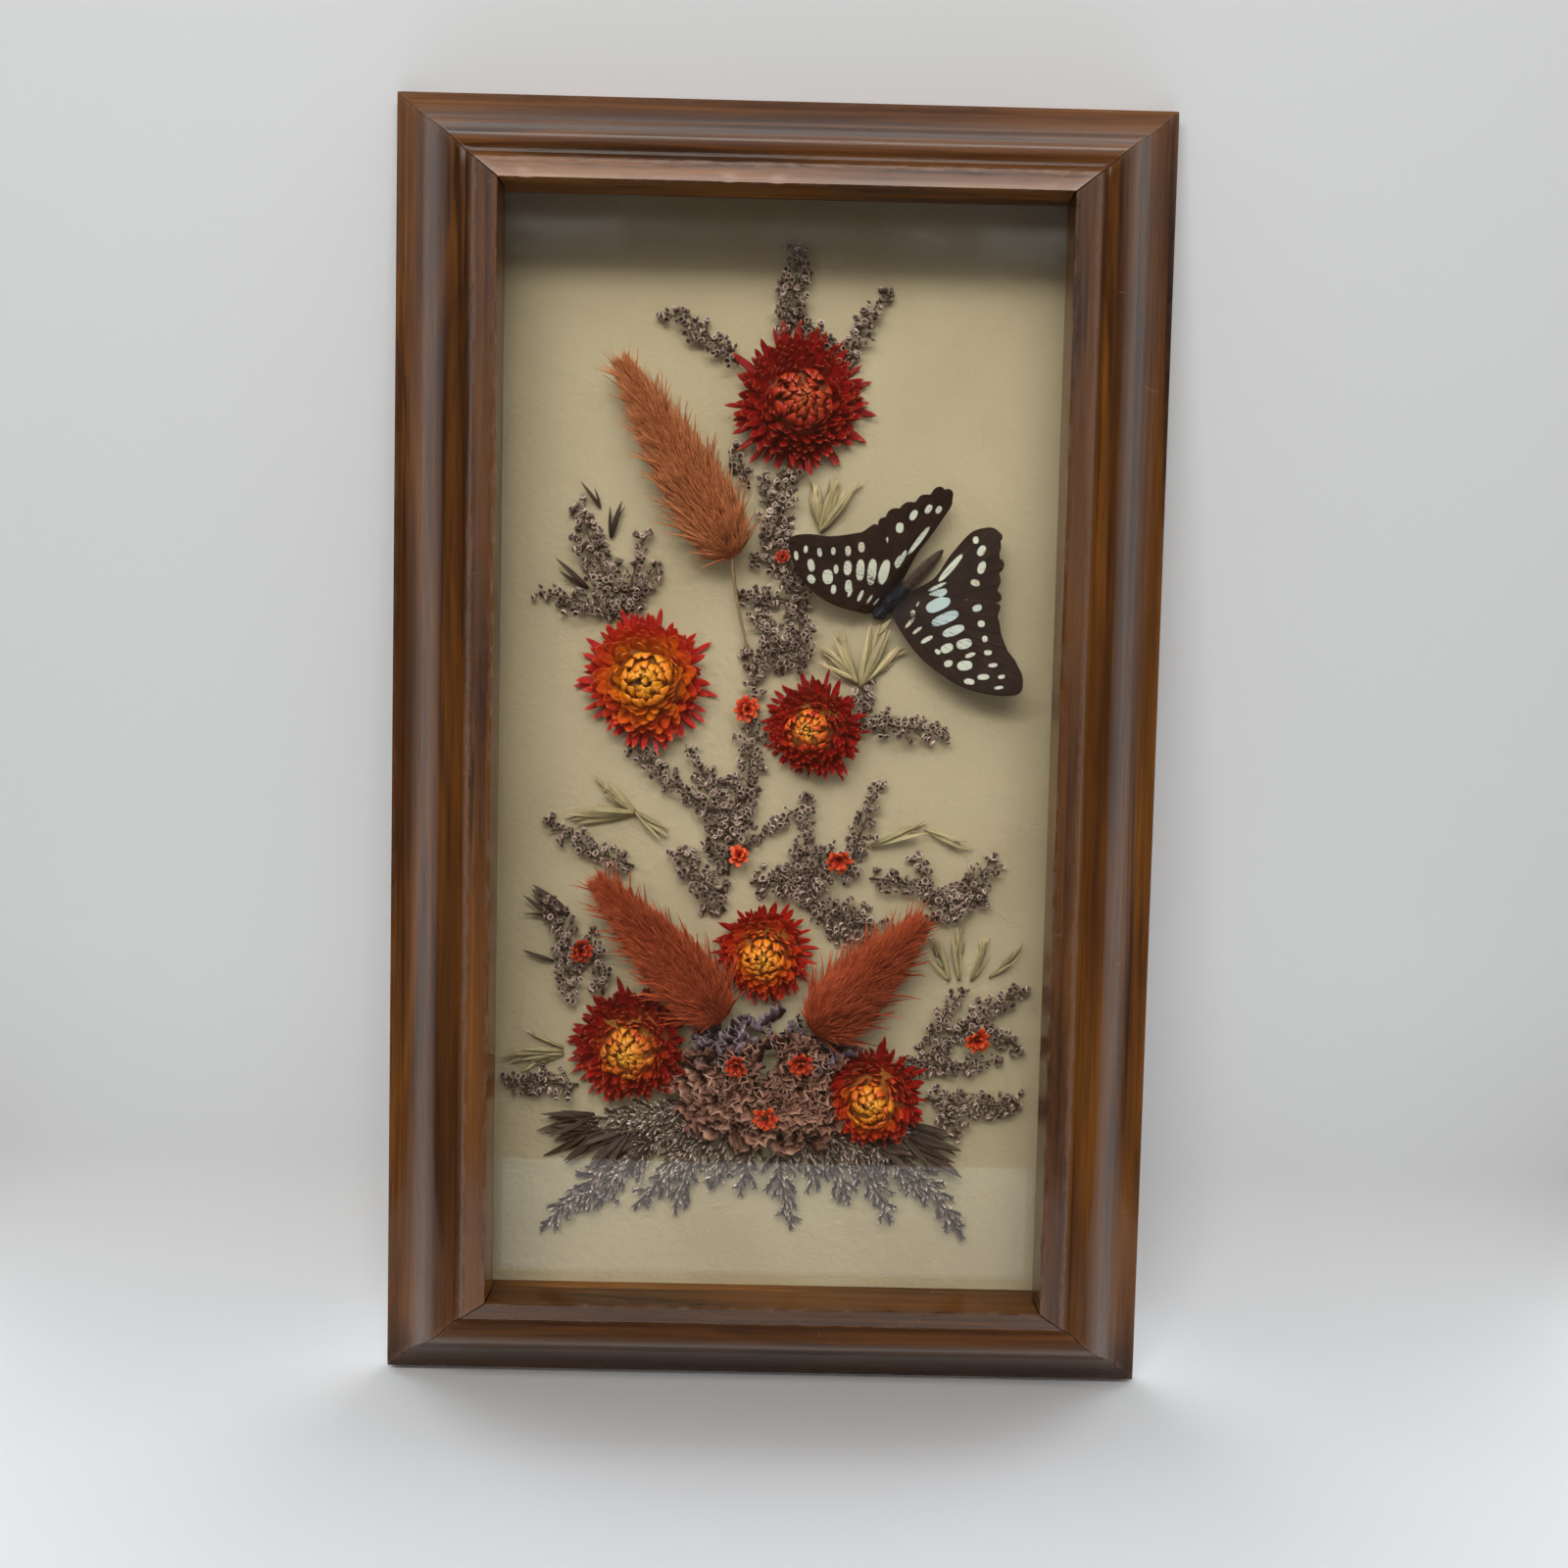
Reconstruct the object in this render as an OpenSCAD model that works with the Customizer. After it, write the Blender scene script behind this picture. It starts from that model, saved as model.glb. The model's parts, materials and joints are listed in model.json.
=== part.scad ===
// Framed shadow-box display case with a butterfly and a pressed arrangement of dried flowers.
// Every module draws the case lying on its back: x to the right, y to the top, z to the viewer,
// from the middle of the back plane. upright() then stands it up with +Z up and its face to -Y,
// with the origin on the back plane at the middle notch of the hanger.

/* [Frame] */
// Width over the outer sides
case_w = 215; // [200:1:300]
// Height over the outer sides
case_h = 358; // [330:1:480]
// Width of the moulding, seen from the front
rail_w = 35; // [31:0.5:42]
// Flat outer side of the moulding, from the back plane
side_h = 5; // [4:0.5:12]
// Width of the cove beside the outer side
cove_w = 10; // [8:0.5:12]
// Rise of the cove
cove_rise = 10; // [7:0.5:14]
// Width of the step between the bulge and the inner chamfer
quirk_w = 3; // [1.5:0.5:4]
// Rise of the step between the bulge and the inner chamfer
quirk_rise = 5; // [3:0.5:7]
// Width of the inner chamfer
chamfer_w = 7.8; // [7:0.2:9]
// Rise of the inner chamfer
chamfer_rise = 9.5; // [7:0.5:11]

/* [Rabbet] */
// Height of the sight wall, from the front edge down to the glass
lip_t = 12.5; // [11:0.5:18]
// Width of the rabbet that holds the glass, hidden by the lip
rabbet_w = 6; // [5:0.5:7]
// Extra width of the rear rabbet, whose ledge stops the boards
ledge_w = 3; // [2:0.5:4]
// Width of the glazing beads
bead_w = 4; // [3:0.5:4.5]
// Height of the glazing beads behind the glass
bead_h = 4; // [3:0.5:6]

/* [Glass and boards] */
// Thickness of the glass
glass_t = 2; // [1.5:0.1:3]
// Space between the tallest flower head or tail and the glass
glass_room = 2.7; // [1:0.1:8]
// Thickness of the textured backing paper
paper_t = 0.5; // [0.3:0.1:1]
// Thickness of the board that carries the arrangement
mount_t = 3; // [2:0.5:6]
// Thickness of one filler board
filler_t = 3; // [2:0.5:5]
// Number of filler boards
filler_count = 2; // [1:1:3]
// Thickness of the rear cover
cover_t = 3; // [2:0.5:5]
// Play of the glass in its rabbet, on each side
glass_fit = 0.5; // [0.2:0.1:1]
// Play of the boards in their rabbet, on each side
board_fit = 0.5; // [0.2:0.1:1]

/* [Back hardware] */
// Height of a turn button's screw above and below the middle of the case
button_y = 105; // [60:1:125]
// Reach of a turn button from its screw
button_reach = 14; // [12:0.5:17]
// Width of a turn button
button_w = 8; // [6:0.5:10]
// Thickness of a turn button
button_t = 0.8; // [0.6:0.1:1.2]
// Distance from the case's outer side to a turn button's screw
button_inset = 18; // [16:0.5:19]
// Diameter of a turn button's screw
screw_d = 2.7; // [2.2:0.1:3.5]
// Length of that screw's shank in the wood
screw_l = 9; // [6:0.5:14]
// Diameter of that screw's head
screw_head_d = 5.6; // [5:0.1:7]
// Height of that screw's head
screw_head_h = 1.6; // [1:0.1:2.5]
// Radial play of a turn button on its screw
button_play = 0.05; // [0.02:0.01:0.1]
// Distance from the top of the case down to the hanger's middle notch
hanger_drop = 16; // [12:0.5:18]
// Width of the sawtooth hanger
hanger_w = 44; // [36:1:60]
// Height of the sawtooth hanger
hanger_h = 9; // [7:0.5:10]
// Thickness of the hanger's steel
hanger_t = 0.8; // [0.5:0.1:1.2]
// Space between the hanger's toothed web and the back plane
hanger_stand = 2; // [1.5:0.1:3]
// Number of notches in the hanger, an odd number
tooth_count = 9; // [5:2:11]
// Depth of the hanger's notches
tooth_d = 2; // [1:0.1:2.5]
// Diameter of the hanger's nails
nail_d = 1.4; // [1.2:0.1:2]
// Length of the hanger's nails in the wood
nail_l = 11; // [8:0.5:15]
// Diameter of the brads that pin the mitres
brad_d = 1.2; // [1:0.1:1.8]
// Length of those brads
brad_l = 26; // [22:1:35]

/* [Arrangement] */
// Height of the strawflower heads
bloom_h = 14; // [10:0.5:16]
// Thickness of the bunny tails
tail_d = 16; // [12:0.5:18]
// Thickness of the statice sprigs
sprig_t = 3; // [2:0.5:4]
// Height of the hydrangea clump
clump_h = 10; // [7:0.5:12]
// Thickness of the twig fringe
twig_t = 2.5; // [1.5:0.5:4]
// Thickness of leaves and grasses
leaf_t = 1.2; // [0.8:0.1:2]
// Diameter of the small star flowers
star_d = 7; // [5:0.5:9]
// Height of a small star flower's cup
star_h = 3.5; // [2:0.5:5]
// Diameter of a small star flower's stalk
stalk_d = 2; // [1.5:0.1:3]
// Thickness of a bunny tail's stem
stem_d = 1; // [0.8:0.1:1.5]
// Thickness of the butterfly's thorax
thorax_d = 4.8; // [3.5:0.1:6]
// Thickness of a wing
wing_t = 0.3; // [0.2:0.1:0.5]
// Rise of the two wings on the left, in degrees
wing_tilt_left = 13; // [0:1:16]
// Rise of the two wings on the right, in degrees
wing_tilt_right = 8; // [0:1:12]

/* [Hidden] */

// Smoothness of every round surface
$fn = 48;
// Space that round things keep from what carries them
seat_gap = 0.3;
// Space between pieces that lie side by side on the backing
side_gap = 0.6;
// Space around a brad, nail or screw in its hole
hole_fit = 0.02;

// Heights above the back plane
filler_z = cover_t;
mount_z = filler_z + filler_t * filler_count;
paper_z = mount_z + mount_t;
backing_z = paper_z + paper_t;
air_gap = max(tail_d + seat_gap, bloom_h) + glass_room;
glass_z = backing_z + air_gap;
lip_z = glass_z + glass_t;
depth = lip_z + lip_t;

// The sight opening, the rabbets around it and the moulding's wood behind them
opening_w = case_w - 2 * rail_w;
opening_h = case_h - 2 * rail_w;
rabbet_inset = rail_w - rabbet_w;
ledge_inset = rabbet_inset - ledge_w;
bulge_inset = rail_w - chamfer_w - quirk_w;
bulge_z = depth - chamfer_rise - quirk_rise;

// Back hardware
button_x = case_w / 2 - button_inset;
hook_y = case_h / 2 - hanger_drop;
hanger_tab = 9;
hanger_joggle = 2;
nail_x = hanger_w / 2 - hanger_tab / 2;
nail_y = hook_y - tooth_d + hanger_h / 2;
nail_head_d = 3;
nail_head_h = 0.6;
// Distances of the brads from the side that they lie along
brad_rows = [8, 16];
brad_z = side_h / 2;

// Opening that the places below are given for, in mm from its middle: they spread with the case
laid_w = 145;
laid_h = 288;
function at(x, y) = [x * opening_w / laid_w, y * opening_h / laid_h];

// Strawflower heads: place and diameter
bloom_top = [4.5, 95.5, 38];
bloom_left = [-35, 19.5, 36];
bloom_right = [11, 7.5, 29];
bloom_middle = [-1.5, -54.5, 28];
bloom_low_left = [-38, -82, 34];
bloom_low_right = [30, -94.5, 31];
blooms = [bloom_top, bloom_left, bloom_right, bloom_middle, bloom_low_left, bloom_low_right];

// Bunny tails: tip, then base
tail_upper = [[-46.5, 109], [-13, 55]];
tail_low_left = [[-51, -32], [-13.5, -71.5]];
tail_low_right = [[44, -42], [13.5, -75]];
tails = [tail_upper, tail_low_left, tail_low_right];
// End of the upper tail's stem
stem_end = [-5.5, 21];

// Hydrangea clump: round lobes, each a place and a radius
clump_lobes = [[-13, -89, 12.5], [0, -88, 15], [12, -89, 12.5], [-9, -98, 10.5], [8, -98, 10.5]];

// Small star flowers on the backing, and those on the clump
stars_low = [[-8, 12], [-9, -28.5], [18.5, -28.5], [-52.5, -55], [57.5, -77.5], [1, 53.5]];
stars_clump = [[-8.5, -84.5], [9, -84], [0, -99]];

// Statice sprigs: base, tip and width, for one cluster after another
sprigs_top = [[[1.5, 113], [3.5, 136], 9], [[-12, 105.5], [-31.5, 118.5], 7],
    [[16.5, 106], [27.5, 125.5], 6], [[4, 118], [17, 107], 4], [[-8.5, 73], [-12.5, 83], 4]];
sprigs_centre = [[[6.5, 22], [6, 42], 8], [[6, 40], [-1, 62], 8], [[-1, 58], [2, 76], 8],
    [[-1.5, 56], [-4.5, 75.5], 4.5], [[1.5, 51], [-7, 53], 4], [[3, 42], [-10.5, 43.5], 4],
    [[2, 21.5], [-5.5, 42], 7], [[-3, 21], [-8.5, 27], 4], [[-6, 14.5], [-3, 30], 4]];
sprigs_middle = [[[-11.5, -19.5], [-40, 2], 7], [[-19, -7], [-23, 1], 4],
    [[-8, -20], [-6.5, 12], 8], [[-12, -34], [-14, -8], 18], [[-12.5, -44], [-26, -28], 10],
    [[6, -38], [9.5, -12], 6], [[7, -15], [0, -20], 4], [[20, -36], [29, -8], 6],
    [[3, -40], [16, -28], 14], [[8, -42], [28, -48], 14], [[-6, -36], [8, -34], 10]];
sprigs_left = [[[-41.5, 38], [-54.5, 66], 10], [[-41.5, 38], [-64.5, 43], 6],
    [[-41.5, 38], [-36.5, 59], 4.5], [[-40, 38], [-33, 50.5], 4]];
sprigs_right = [[[22, 11], [46.5, 7.5], 8], [[24.5, 10], [24, 19.5], 5]];
sprigs_low_left = [[[-53, -58], [-61, -42], 7], [[-55, -71], [-57, -55], 8],
    [[-46, -68], [-50, -52], 7], [[-52.5, -93.5], [-72, -93], 8], [[-38, -32], [-62, -20], 6]];
sprigs_low_right = [[[38.5, -87.5], [59, -72], 6], [[52, -77], [70, -64.5], 6],
    [[44, -80], [54, -65], 5], [[40, -86.5], [64, -84], 4], [[56, -72], [69.5, -80], 5],
    [[44, -95.5], [69.5, -97], 8], [[48.5, -95], [53.5, -105], 5], [[27, -34], [45, -37], 5],
    [[44, -46], [61, -28], 8], [[42, -40], [58.5, -38.5], 8], [[43, -37], [39.5, -28], 4]];
clusters = [sprigs_top, sprigs_centre, sprigs_middle, sprigs_left, sprigs_right,
    sprigs_low_left, sprigs_low_right];

// Silvery twigs that fan out under the clump: their tips, and how far in their bases lie
twig_tips = [[-62, -134], [-52, -129], [-46.5, -127.5], [-36, -127.5], [-25, -128.5],
    [-15, -122], [-6.5, -123], [7.5, -132], [15, -121], [23.5, -125], [35.5, -130],
    [44, -124], [55.5, -134.5]];
twig_gather = 0.55;
twig_base_y = -104;
twig_w = 6;

// Narrow dark leaves, and blades of grass: base, tip and width
leaves = [[[-50, -104], [-63, -103.5], 3], [[-51, -106], [-63, -108], 3],
    [[-52, -107], [-64, -120], 3.5], [[40.5, -106], [53.5, -116.5], 3.5],
    [[42, -104], [51, -110], 3], [[-58, -48], [-68.5, -40.5], 2.5],
    [[-56, -46], [-66, -37.5], 2.5], [[-60, -59], [-68.5, -56], 2.5],
    [[-49, 66], [-54.5, 73], 2.5], [[-46, 58], [-43, 68], 2.5], [[-52, 44], [-61, 52], 2.5]];
blades = [[[10.5, 61], [20.5, 74], 2.5], [[11, 62], [9, 74], 2], [[23, 19], [28, 34], 2.5],
    [[22, 20], [17, 33], 2.5], [[23, 20], [13, 30], 2.5], [[24, 20], [33, 30], 2],
    [[-38, -17], [-49, -8.5], 2.5], [[-38, -17], [-56.5, -18], 3], [[-38, -17], [-29, -24], 3],
    [[27, -25], [42.5, -18.5], 2.5], [[42, -20], [54, -25.5], 2], [[52, -62], [46, -51.5], 2],
    [[52, -62], [51.5, -48], 2], [[52, -62], [60, -51], 2], [[60, -60], [70, -52], 2],
    [[-57, -84], [-72, -85.5], 2.5], [[-57, -83], [-67, -78.5], 2.5], [[-57, -85], [-69, -89], 2]];

// Butterfly: place of its thorax, and the direction of its head from +x
thorax_at = [31.5, 43];
head_angle = -134;
// Its body, as radii in shares of the thorax's, at places along it towards the head
body_outline = [[0.15, -19], [0.55, -17], [0.75, -12], [0.72, -7], [0.8, -4.5], [1, -2],
    [1, 1.5], [0.75, 3.5], [0.6, 4.2], [0.72, 5.5], [0.5, 7], [0.15, 7.4]];
// Wing outlines, each point as a place towards the head and a distance from the body's axis
forewing_left_line = [[-3, 1], [2, 0.5], [7, 1], [10, 5], [13, 10.5], [14.5, 16],
    [14.6, 21.5], [13.5, 25.5], [10.5, 31], [8, 31.5], [4.5, 28.7], [1.5, 25], [-2, 22],
    [-6, 19.3], [-10.3, 17.3], [-6.5, 7]];
hindwing_left_line = [[1, 0.8], [-5, 1.5], [-12.7, 4.3], [-18.3, 5.2], [-24, 6.2], [-29, 7.5],
    [-30.8, 10.3], [-29.5, 12.8], [-25.4, 14.2], [-20.6, 15.8], [-17, 17.4], [-13.2, 18.1],
    [-10, 17.3], [-1, 9]];
forewing_right_line = [[-3, 0.8], [1, 0.5], [4, 4], [5.7, 11], [6.3, 17], [5.7, 23],
    [4.5, 28.5], [2.2, 33.6], [-1.2, 38.5], [-4.6, 41.7], [-7.2, 41.7], [-9.3, 39.5],
    [-10.8, 36], [-11.8, 31.2], [-13.6, 27.3], [-16.3, 23.3], [-18.6, 20.3], [-11, 11]];
hindwing_right_line = [[1, 0.8], [-4.6, 1.5], [-11.5, 3.6], [-19.4, 2.2], [-27.2, 1.7],
    [-30.8, 3.6], [-32.6, 6], [-32, 9.2], [-28.8, 11], [-28, 13.2], [-26.3, 14.9],
    [-22.6, 17.2], [-18.4, 20.3], [-6, 12]];
wing_play = 0.1;

// Curved stretch of an outline from a to d, drawn towards b and c, without its first point
function bend(a, b, c, d, steps) = [for (i = [1:steps]) let (t = i / steps, u = 1 - t)
    u * u * u * a + 3 * u * u * t * b + 3 * u * t * t * c + t * t * t * d];

// Moulding's section as inset from the outer side and height above the back plane
side_top = [0, side_h];
cove_end = [cove_w, side_h + cove_rise];
bulge_end = [bulge_inset, bulge_z];
bulge_run = bulge_inset - cove_w;
bulge_climb = bulge_z - cove_end[1];
moulding = concat([[0, 0], side_top],
    bend(side_top, [cove_w * 0.4, side_h + cove_rise * 0.28],
        [cove_w * 0.75, side_h + cove_rise * 0.62], cove_end, 5),
    bend(cove_end, cove_end + [bulge_run * 0.42, bulge_climb * 0.64],
        bulge_end - [bulge_run * 0.4, 0], bulge_end, 9),
    [[rail_w - chamfer_w, depth - chamfer_rise], [rail_w, depth], [rail_w, lip_z],
        [rabbet_inset, lip_z], [rabbet_inset, backing_z], [ledge_inset, backing_z],
        [ledge_inset, 0]]);

module upright() translate([0, 0, -hook_y]) rotate([90, 0, 0]) children();

// What lies on the backing, seen from the middle of the opening
module on_backing() upright() translate([0, 0, backing_z]) children();

// One mitred rail with its outer side along the y axis and its inset along +x
module rail(long) {
    intersection() {
        translate([0, long / 2, 0]) rotate([90, 0, 0]) linear_extrude(long) polygon(moulding);
        linear_extrude(depth) polygon([[0, -long / 2], [0, long / 2],
            [rail_w, long / 2 - rail_w], [rail_w, rail_w - long / 2]]);
    }
}

module brads(d) {
    for (sx = [-1, 1], sy = [-1, 1], row = brad_rows)
        translate([sx * (case_w / 2 - row), sy * case_h / 2, brad_z])
            rotate([sy * 90, 0, 0]) cylinder(d = d, h = brad_l);
}

module at_buttons() {
    for (sx = [-1, 1], sy = [-1, 1]) translate([sx * button_x, sy * button_y, 0]) children();
}

module at_nails() {
    for (sx = [-1, 1]) translate([sx * nail_x, nail_y, 0]) children();
}

module upright_rail(sx) {
    color("saddlebrown") upright() difference() {
        translate([sx * case_w / 2, 0, 0]) rotate(sx < 0 ? 0 : 180) rail(case_h);
        brads(brad_d + 2 * hole_fit);
        at_buttons() translate([0, 0, -1]) cylinder(d = screw_d + 2 * hole_fit, h = screw_l + 1.5);
    }
}

module left_rail() upright_rail(-1);
module right_rail() upright_rail(1);

module top_rail() {
    color("saddlebrown") upright() difference() {
        translate([0, case_h / 2, 0]) rotate(-90) rail(case_w);
        brads(brad_d + 2 * hole_fit);
        at_nails() translate([0, 0, -1]) cylinder(d = nail_d + 2 * hole_fit, h = nail_l + 1.5);
    }
}

module bottom_rail() {
    color("saddlebrown") upright() difference() {
        translate([0, -case_h / 2, 0]) rotate(90) rail(case_w);
        brads(brad_d + 2 * hole_fit);
    }
}

module corner_brads() color("dimgray") upright() brads(brad_d);

// A board in the rabbet, larger than the opening by grow on each side
module board(grow, z, t) {
    translate([-opening_w / 2 - grow, -opening_h / 2 - grow, z])
        cube([opening_w + 2 * grow, opening_h + 2 * grow, t]);
}

module glass_pane() color("lightcyan", 0.4) upright() board(rabbet_w - glass_fit, glass_z, glass_t);

module glazing_beads() {
    long = opening_w + 2 * rabbet_w;
    short = opening_h + 2 * rabbet_w - 2 * bead_w;
    color("sienna") upright() translate([0, 0, glass_z - bead_h]) {
        for (sy = [-1, 1])
            translate([-long / 2, sy * (opening_h / 2 + rabbet_w - bead_w / 2) - bead_w / 2, 0])
                cube([long, bead_w, bead_h]);
        for (sx = [-1, 1])
            translate([sx * (opening_w / 2 + rabbet_w - bead_w / 2) - bead_w / 2, -short / 2, 0])
                cube([bead_w, short, bead_h]);
    }
}

board_grow = rabbet_w + ledge_w - board_fit;
module backing_paper() color("lemonchiffon") upright() board(board_grow, paper_z, paper_t);
module mount_board() color("gainsboro") upright() board(board_grow, mount_z, mount_t);
module rear_cover() color("peru") upright() board(board_grow, 0, cover_t);
module filler_boards() {
    color("burlywood") upright() for (i = [0:filler_count - 1])
        board(board_grow, filler_z + i * filler_t, filler_t);
}

// A turn button that points to the middle of the case, on its screw at the side sx and sy
module turn_button(sx, sy) {
    color("goldenrod") upright() translate([sx * button_x, sy * button_y, -button_t])
        linear_extrude(button_t) difference() {
            union() {
                circle(d = button_w);
                translate([-sx * (button_reach - button_w / 2), 0]) circle(d = button_w);
                translate([-sx * (button_reach - button_w / 2) / 2, 0])
                    square([button_reach - button_w / 2, button_w], center = true);
            }
            circle(d = screw_d + 2 * button_play);
        }
}

module turn_button_upper_left() turn_button(-1, 1);
module turn_button_upper_right() turn_button(1, 1);
module turn_button_lower_left() turn_button(-1, -1);
module turn_button_lower_right() turn_button(1, -1);

module button_screws() {
    color("darkgoldenrod") upright() at_buttons() {
        translate([0, 0, -button_t - 0.01]) cylinder(d = screw_d, h = screw_l + button_t);
        translate([0, 0, -button_t - screw_head_h / 2])
            cylinder(d = screw_head_d, h = screw_head_h / 2);
        translate([0, 0, -button_t - screw_head_h])
            cylinder(d1 = screw_head_d * 0.6, d2 = screw_head_d, h = screw_head_h / 2);
    }
}

module sawtooth_hanger() {
    web_x = hanger_w / 2 - hanger_tab - hanger_joggle;
    tab_x = hanger_w / 2 - hanger_tab;
    pitch = 2 * web_x / tooth_count;
    low_y = hook_y - tooth_d;
    half = [[web_x, -hanger_stand], [tab_x, 0], [hanger_w / 2, 0], [hanger_w / 2, -hanger_t],
        [tab_x + hanger_t / 2, -hanger_t], [web_x + hanger_t / 2, -hanger_stand - hanger_t]];
    other = [for (i = [len(half) - 1:-1:0]) [-half[i][0], half[i][1]]];
    color("darkkhaki") upright() difference() {
        translate([0, low_y + hanger_h, 0]) rotate([90, 0, 0])
            linear_extrude(hanger_h) polygon(concat(half, other));
        for (i = [0:tooth_count - 1])
            translate([(i - (tooth_count - 1) / 2) * pitch, low_y, -hanger_stand - 2 * hanger_t])
                linear_extrude(3 * hanger_t)
                    polygon([[-pitch * 0.45, -0.1], [0, tooth_d], [pitch * 0.45, -0.1]]);
        at_nails() translate([0, 0, -hanger_t - 1]) cylinder(d = nail_d + 2 * hole_fit, h = hanger_t + 2);
    }
}

module hanger_nails() {
    color("dimgray") upright() at_nails() {
        translate([0, 0, -hanger_t - 0.01]) cylinder(d = nail_d, h = nail_l + hanger_t);
        translate([0, 0, -hanger_t - nail_head_h]) cylinder(d = nail_head_d, h = nail_head_h);
    }
}

// Strawflower head, a low dome over a narrower foot
module bloom(b) {
    r = b[2] / 2;
    foot = [r * 0.7, 0];
    edge = [r, bloom_h * 0.4];
    crown = [r * 0.3, bloom_h];
    on_backing() translate(at(b[0], b[1])) rotate_extrude() polygon(concat([[0, 0], foot],
        bend(foot, [r * 0.95, 0], [r, bloom_h * 0.2], edge, 4),
        bend(edge, [r, bloom_h * 0.75], [r * 0.65, bloom_h], crown, 5), [[0, bloom_h * 0.92]]));
}

module strawflower_top() color("firebrick") bloom(bloom_top);
module strawflower_left() color("orange") bloom(bloom_left);
module strawflower_right() color("crimson") bloom(bloom_right);
module strawflower_middle() color("darkorange") bloom(bloom_middle);
module strawflower_low_left() color("brown") bloom(bloom_low_left);
module strawflower_low_right() color("orangered") bloom(bloom_low_right);

// Bunny tail: half its thickness at the share t of its length from tip to base
tail_steps = 14;
function tail_r(t) = tail_d / 2 * pow(sin(180 * pow(t, 0.8)), 0.6);
function heading(p, q) = atan2(q[1] - p[1], q[0] - p[0]);
function reach(p, q) = norm(q - p);

module rod(a, b, d) {
    v = b - a;
    translate(a) rotate([0, acos(v[2] / norm(v)), atan2(v[1], v[0])]) cylinder(d = d, h = norm(v));
}

module tail(ends) {
    p = at(ends[0][0], ends[0][1]);
    q = at(ends[1][0], ends[1][1]);
    span = reach(p, q);
    translate([p[0], p[1], tail_d / 2 + seat_gap]) rotate(heading(p, q)) rotate([0, 90, 0])
        rotate_extrude() polygon(concat([[0, 0]],
            [for (i = [1:tail_steps - 1]) [tail_r(i / tail_steps), span * i / tail_steps]],
            [[0, span]]));
}

// Ground that a tail covers, grown by side_gap
module tail_ground(ends) {
    p = at(ends[0][0], ends[0][1]);
    q = at(ends[1][0], ends[1][1]);
    span = reach(p, q) + 2 * side_gap;
    edge = [for (i = [1:tail_steps - 1]) [span * i / tail_steps - side_gap,
        tail_r(i / tail_steps) + side_gap]];
    translate(p) rotate(heading(p, q)) polygon(concat([[-side_gap, 0]], edge, [[span - side_gap, 0]],
        [for (i = [len(edge) - 1:-1:0]) [edge[i][0], -edge[i][1]]]));
}

module bunny_tail_upper() {
    base = at(tail_upper[1][0], tail_upper[1][1]);
    end = at(stem_end[0], stem_end[1]);
    mid_z = tail_d / 2 + seat_gap;
    // The stem starts inside the tail and ends just above the sprigs
    start = base + 0.1 * (at(tail_upper[0][0], tail_upper[0][1]) - base);
    color("sandybrown") on_backing() union() {
        tail(tail_upper);
        rod([start[0], start[1], mid_z], [end[0], end[1], sprig_t + stem_d], stem_d);
    }
}

module bunny_tail_low_left() color("chocolate") on_backing() tail(tail_low_left);
module bunny_tail_low_right() color("chocolate") on_backing() tail(tail_low_right);

module bloom_ground() {
    for (b = blooms) translate(at(b[0], b[1])) circle(r = b[2] / 2 + side_gap);
}

module tails_ground() for (t = tails) tail_ground(t);

module clump_shape(grow) {
    for (c = clump_lobes) translate(at(c[0], c[1])) circle(r = c[2] + grow);
}

module star_ground() {
    for (s = stars_low) translate(at(s[0], s[1])) circle(d = stalk_d + 2 * side_gap);
}

module hydrangea_clump() {
    color("rosybrown") on_backing() linear_extrude(clump_h) difference() {
        clump_shape(0);
        bloom_ground();
        tails_ground();
    }
}

// A small star flower: a cup that widens upwards
module star_cup() cylinder(d1 = star_d * 0.5, d2 = star_d, h = star_h);

module star_flowers() {
    color("tomato") on_backing() {
        for (s = stars_low) translate(at(s[0], s[1])) {
            cylinder(d = stalk_d, h = sprig_t + seat_gap + 0.1);
            translate([0, 0, sprig_t + seat_gap]) star_cup();
        }
        for (s = stars_clump) translate([at(s[0], s[1])[0], at(s[0], s[1])[1], clump_h]) star_cup();
    }
}

// A long leaf shape from the base p to the tip q, w wide and grown by g
module blade(p, q, w, g = 0) {
    a = at(p[0], p[1]);
    b = at(q[0], q[1]);
    span = reach(a, b);
    h = w / 2 + g;
    translate(a) rotate(heading(a, b)) polygon([[-g, -h * 0.6], [span * 0.25, -h],
        [span * 0.7, -h * 0.85], [span + g, -h * 0.3], [span + g, h * 0.3],
        [span * 0.7, h * 0.85], [span * 0.25, h], [-g, h * 0.6]]);
}

module cluster_shape(list, g = 0) for (s = list) blade(s[0], s[1], s[2], g);

// Ground taken by the flower heads, tails, clump and stalks, and by the first n sprig clusters
module taken_ground(n) {
    bloom_ground();
    tails_ground();
    clump_shape(side_gap);
    star_ground();
    if (n > 0) for (i = [0:n - 1]) cluster_shape(clusters[i], side_gap);
}

module statice(i) {
    color("rosybrown") on_backing() linear_extrude(sprig_t) difference() {
        cluster_shape(clusters[i]);
        taken_ground(i);
    }
}

module statice_top() statice(0);
module statice_centre() statice(1);
module statice_middle() statice(2);
module statice_left() statice(3);
module statice_right() statice(4);
module statice_low_left() statice(5);
module statice_low_right() statice(6);

module twig_shape(g = 0) {
    for (t = twig_tips) blade([t[0] * twig_gather, twig_base_y], t, twig_w, g);
}

module twig_fringe() {
    color("slategray") on_backing() linear_extrude(twig_t) difference() {
        twig_shape();
        taken_ground(len(clusters));
    }
}

module dark_leaves() {
    color("darkslategray") on_backing() linear_extrude(leaf_t) difference() {
        cluster_shape(leaves);
        taken_ground(len(clusters));
        twig_shape(side_gap);
    }
}

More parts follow.
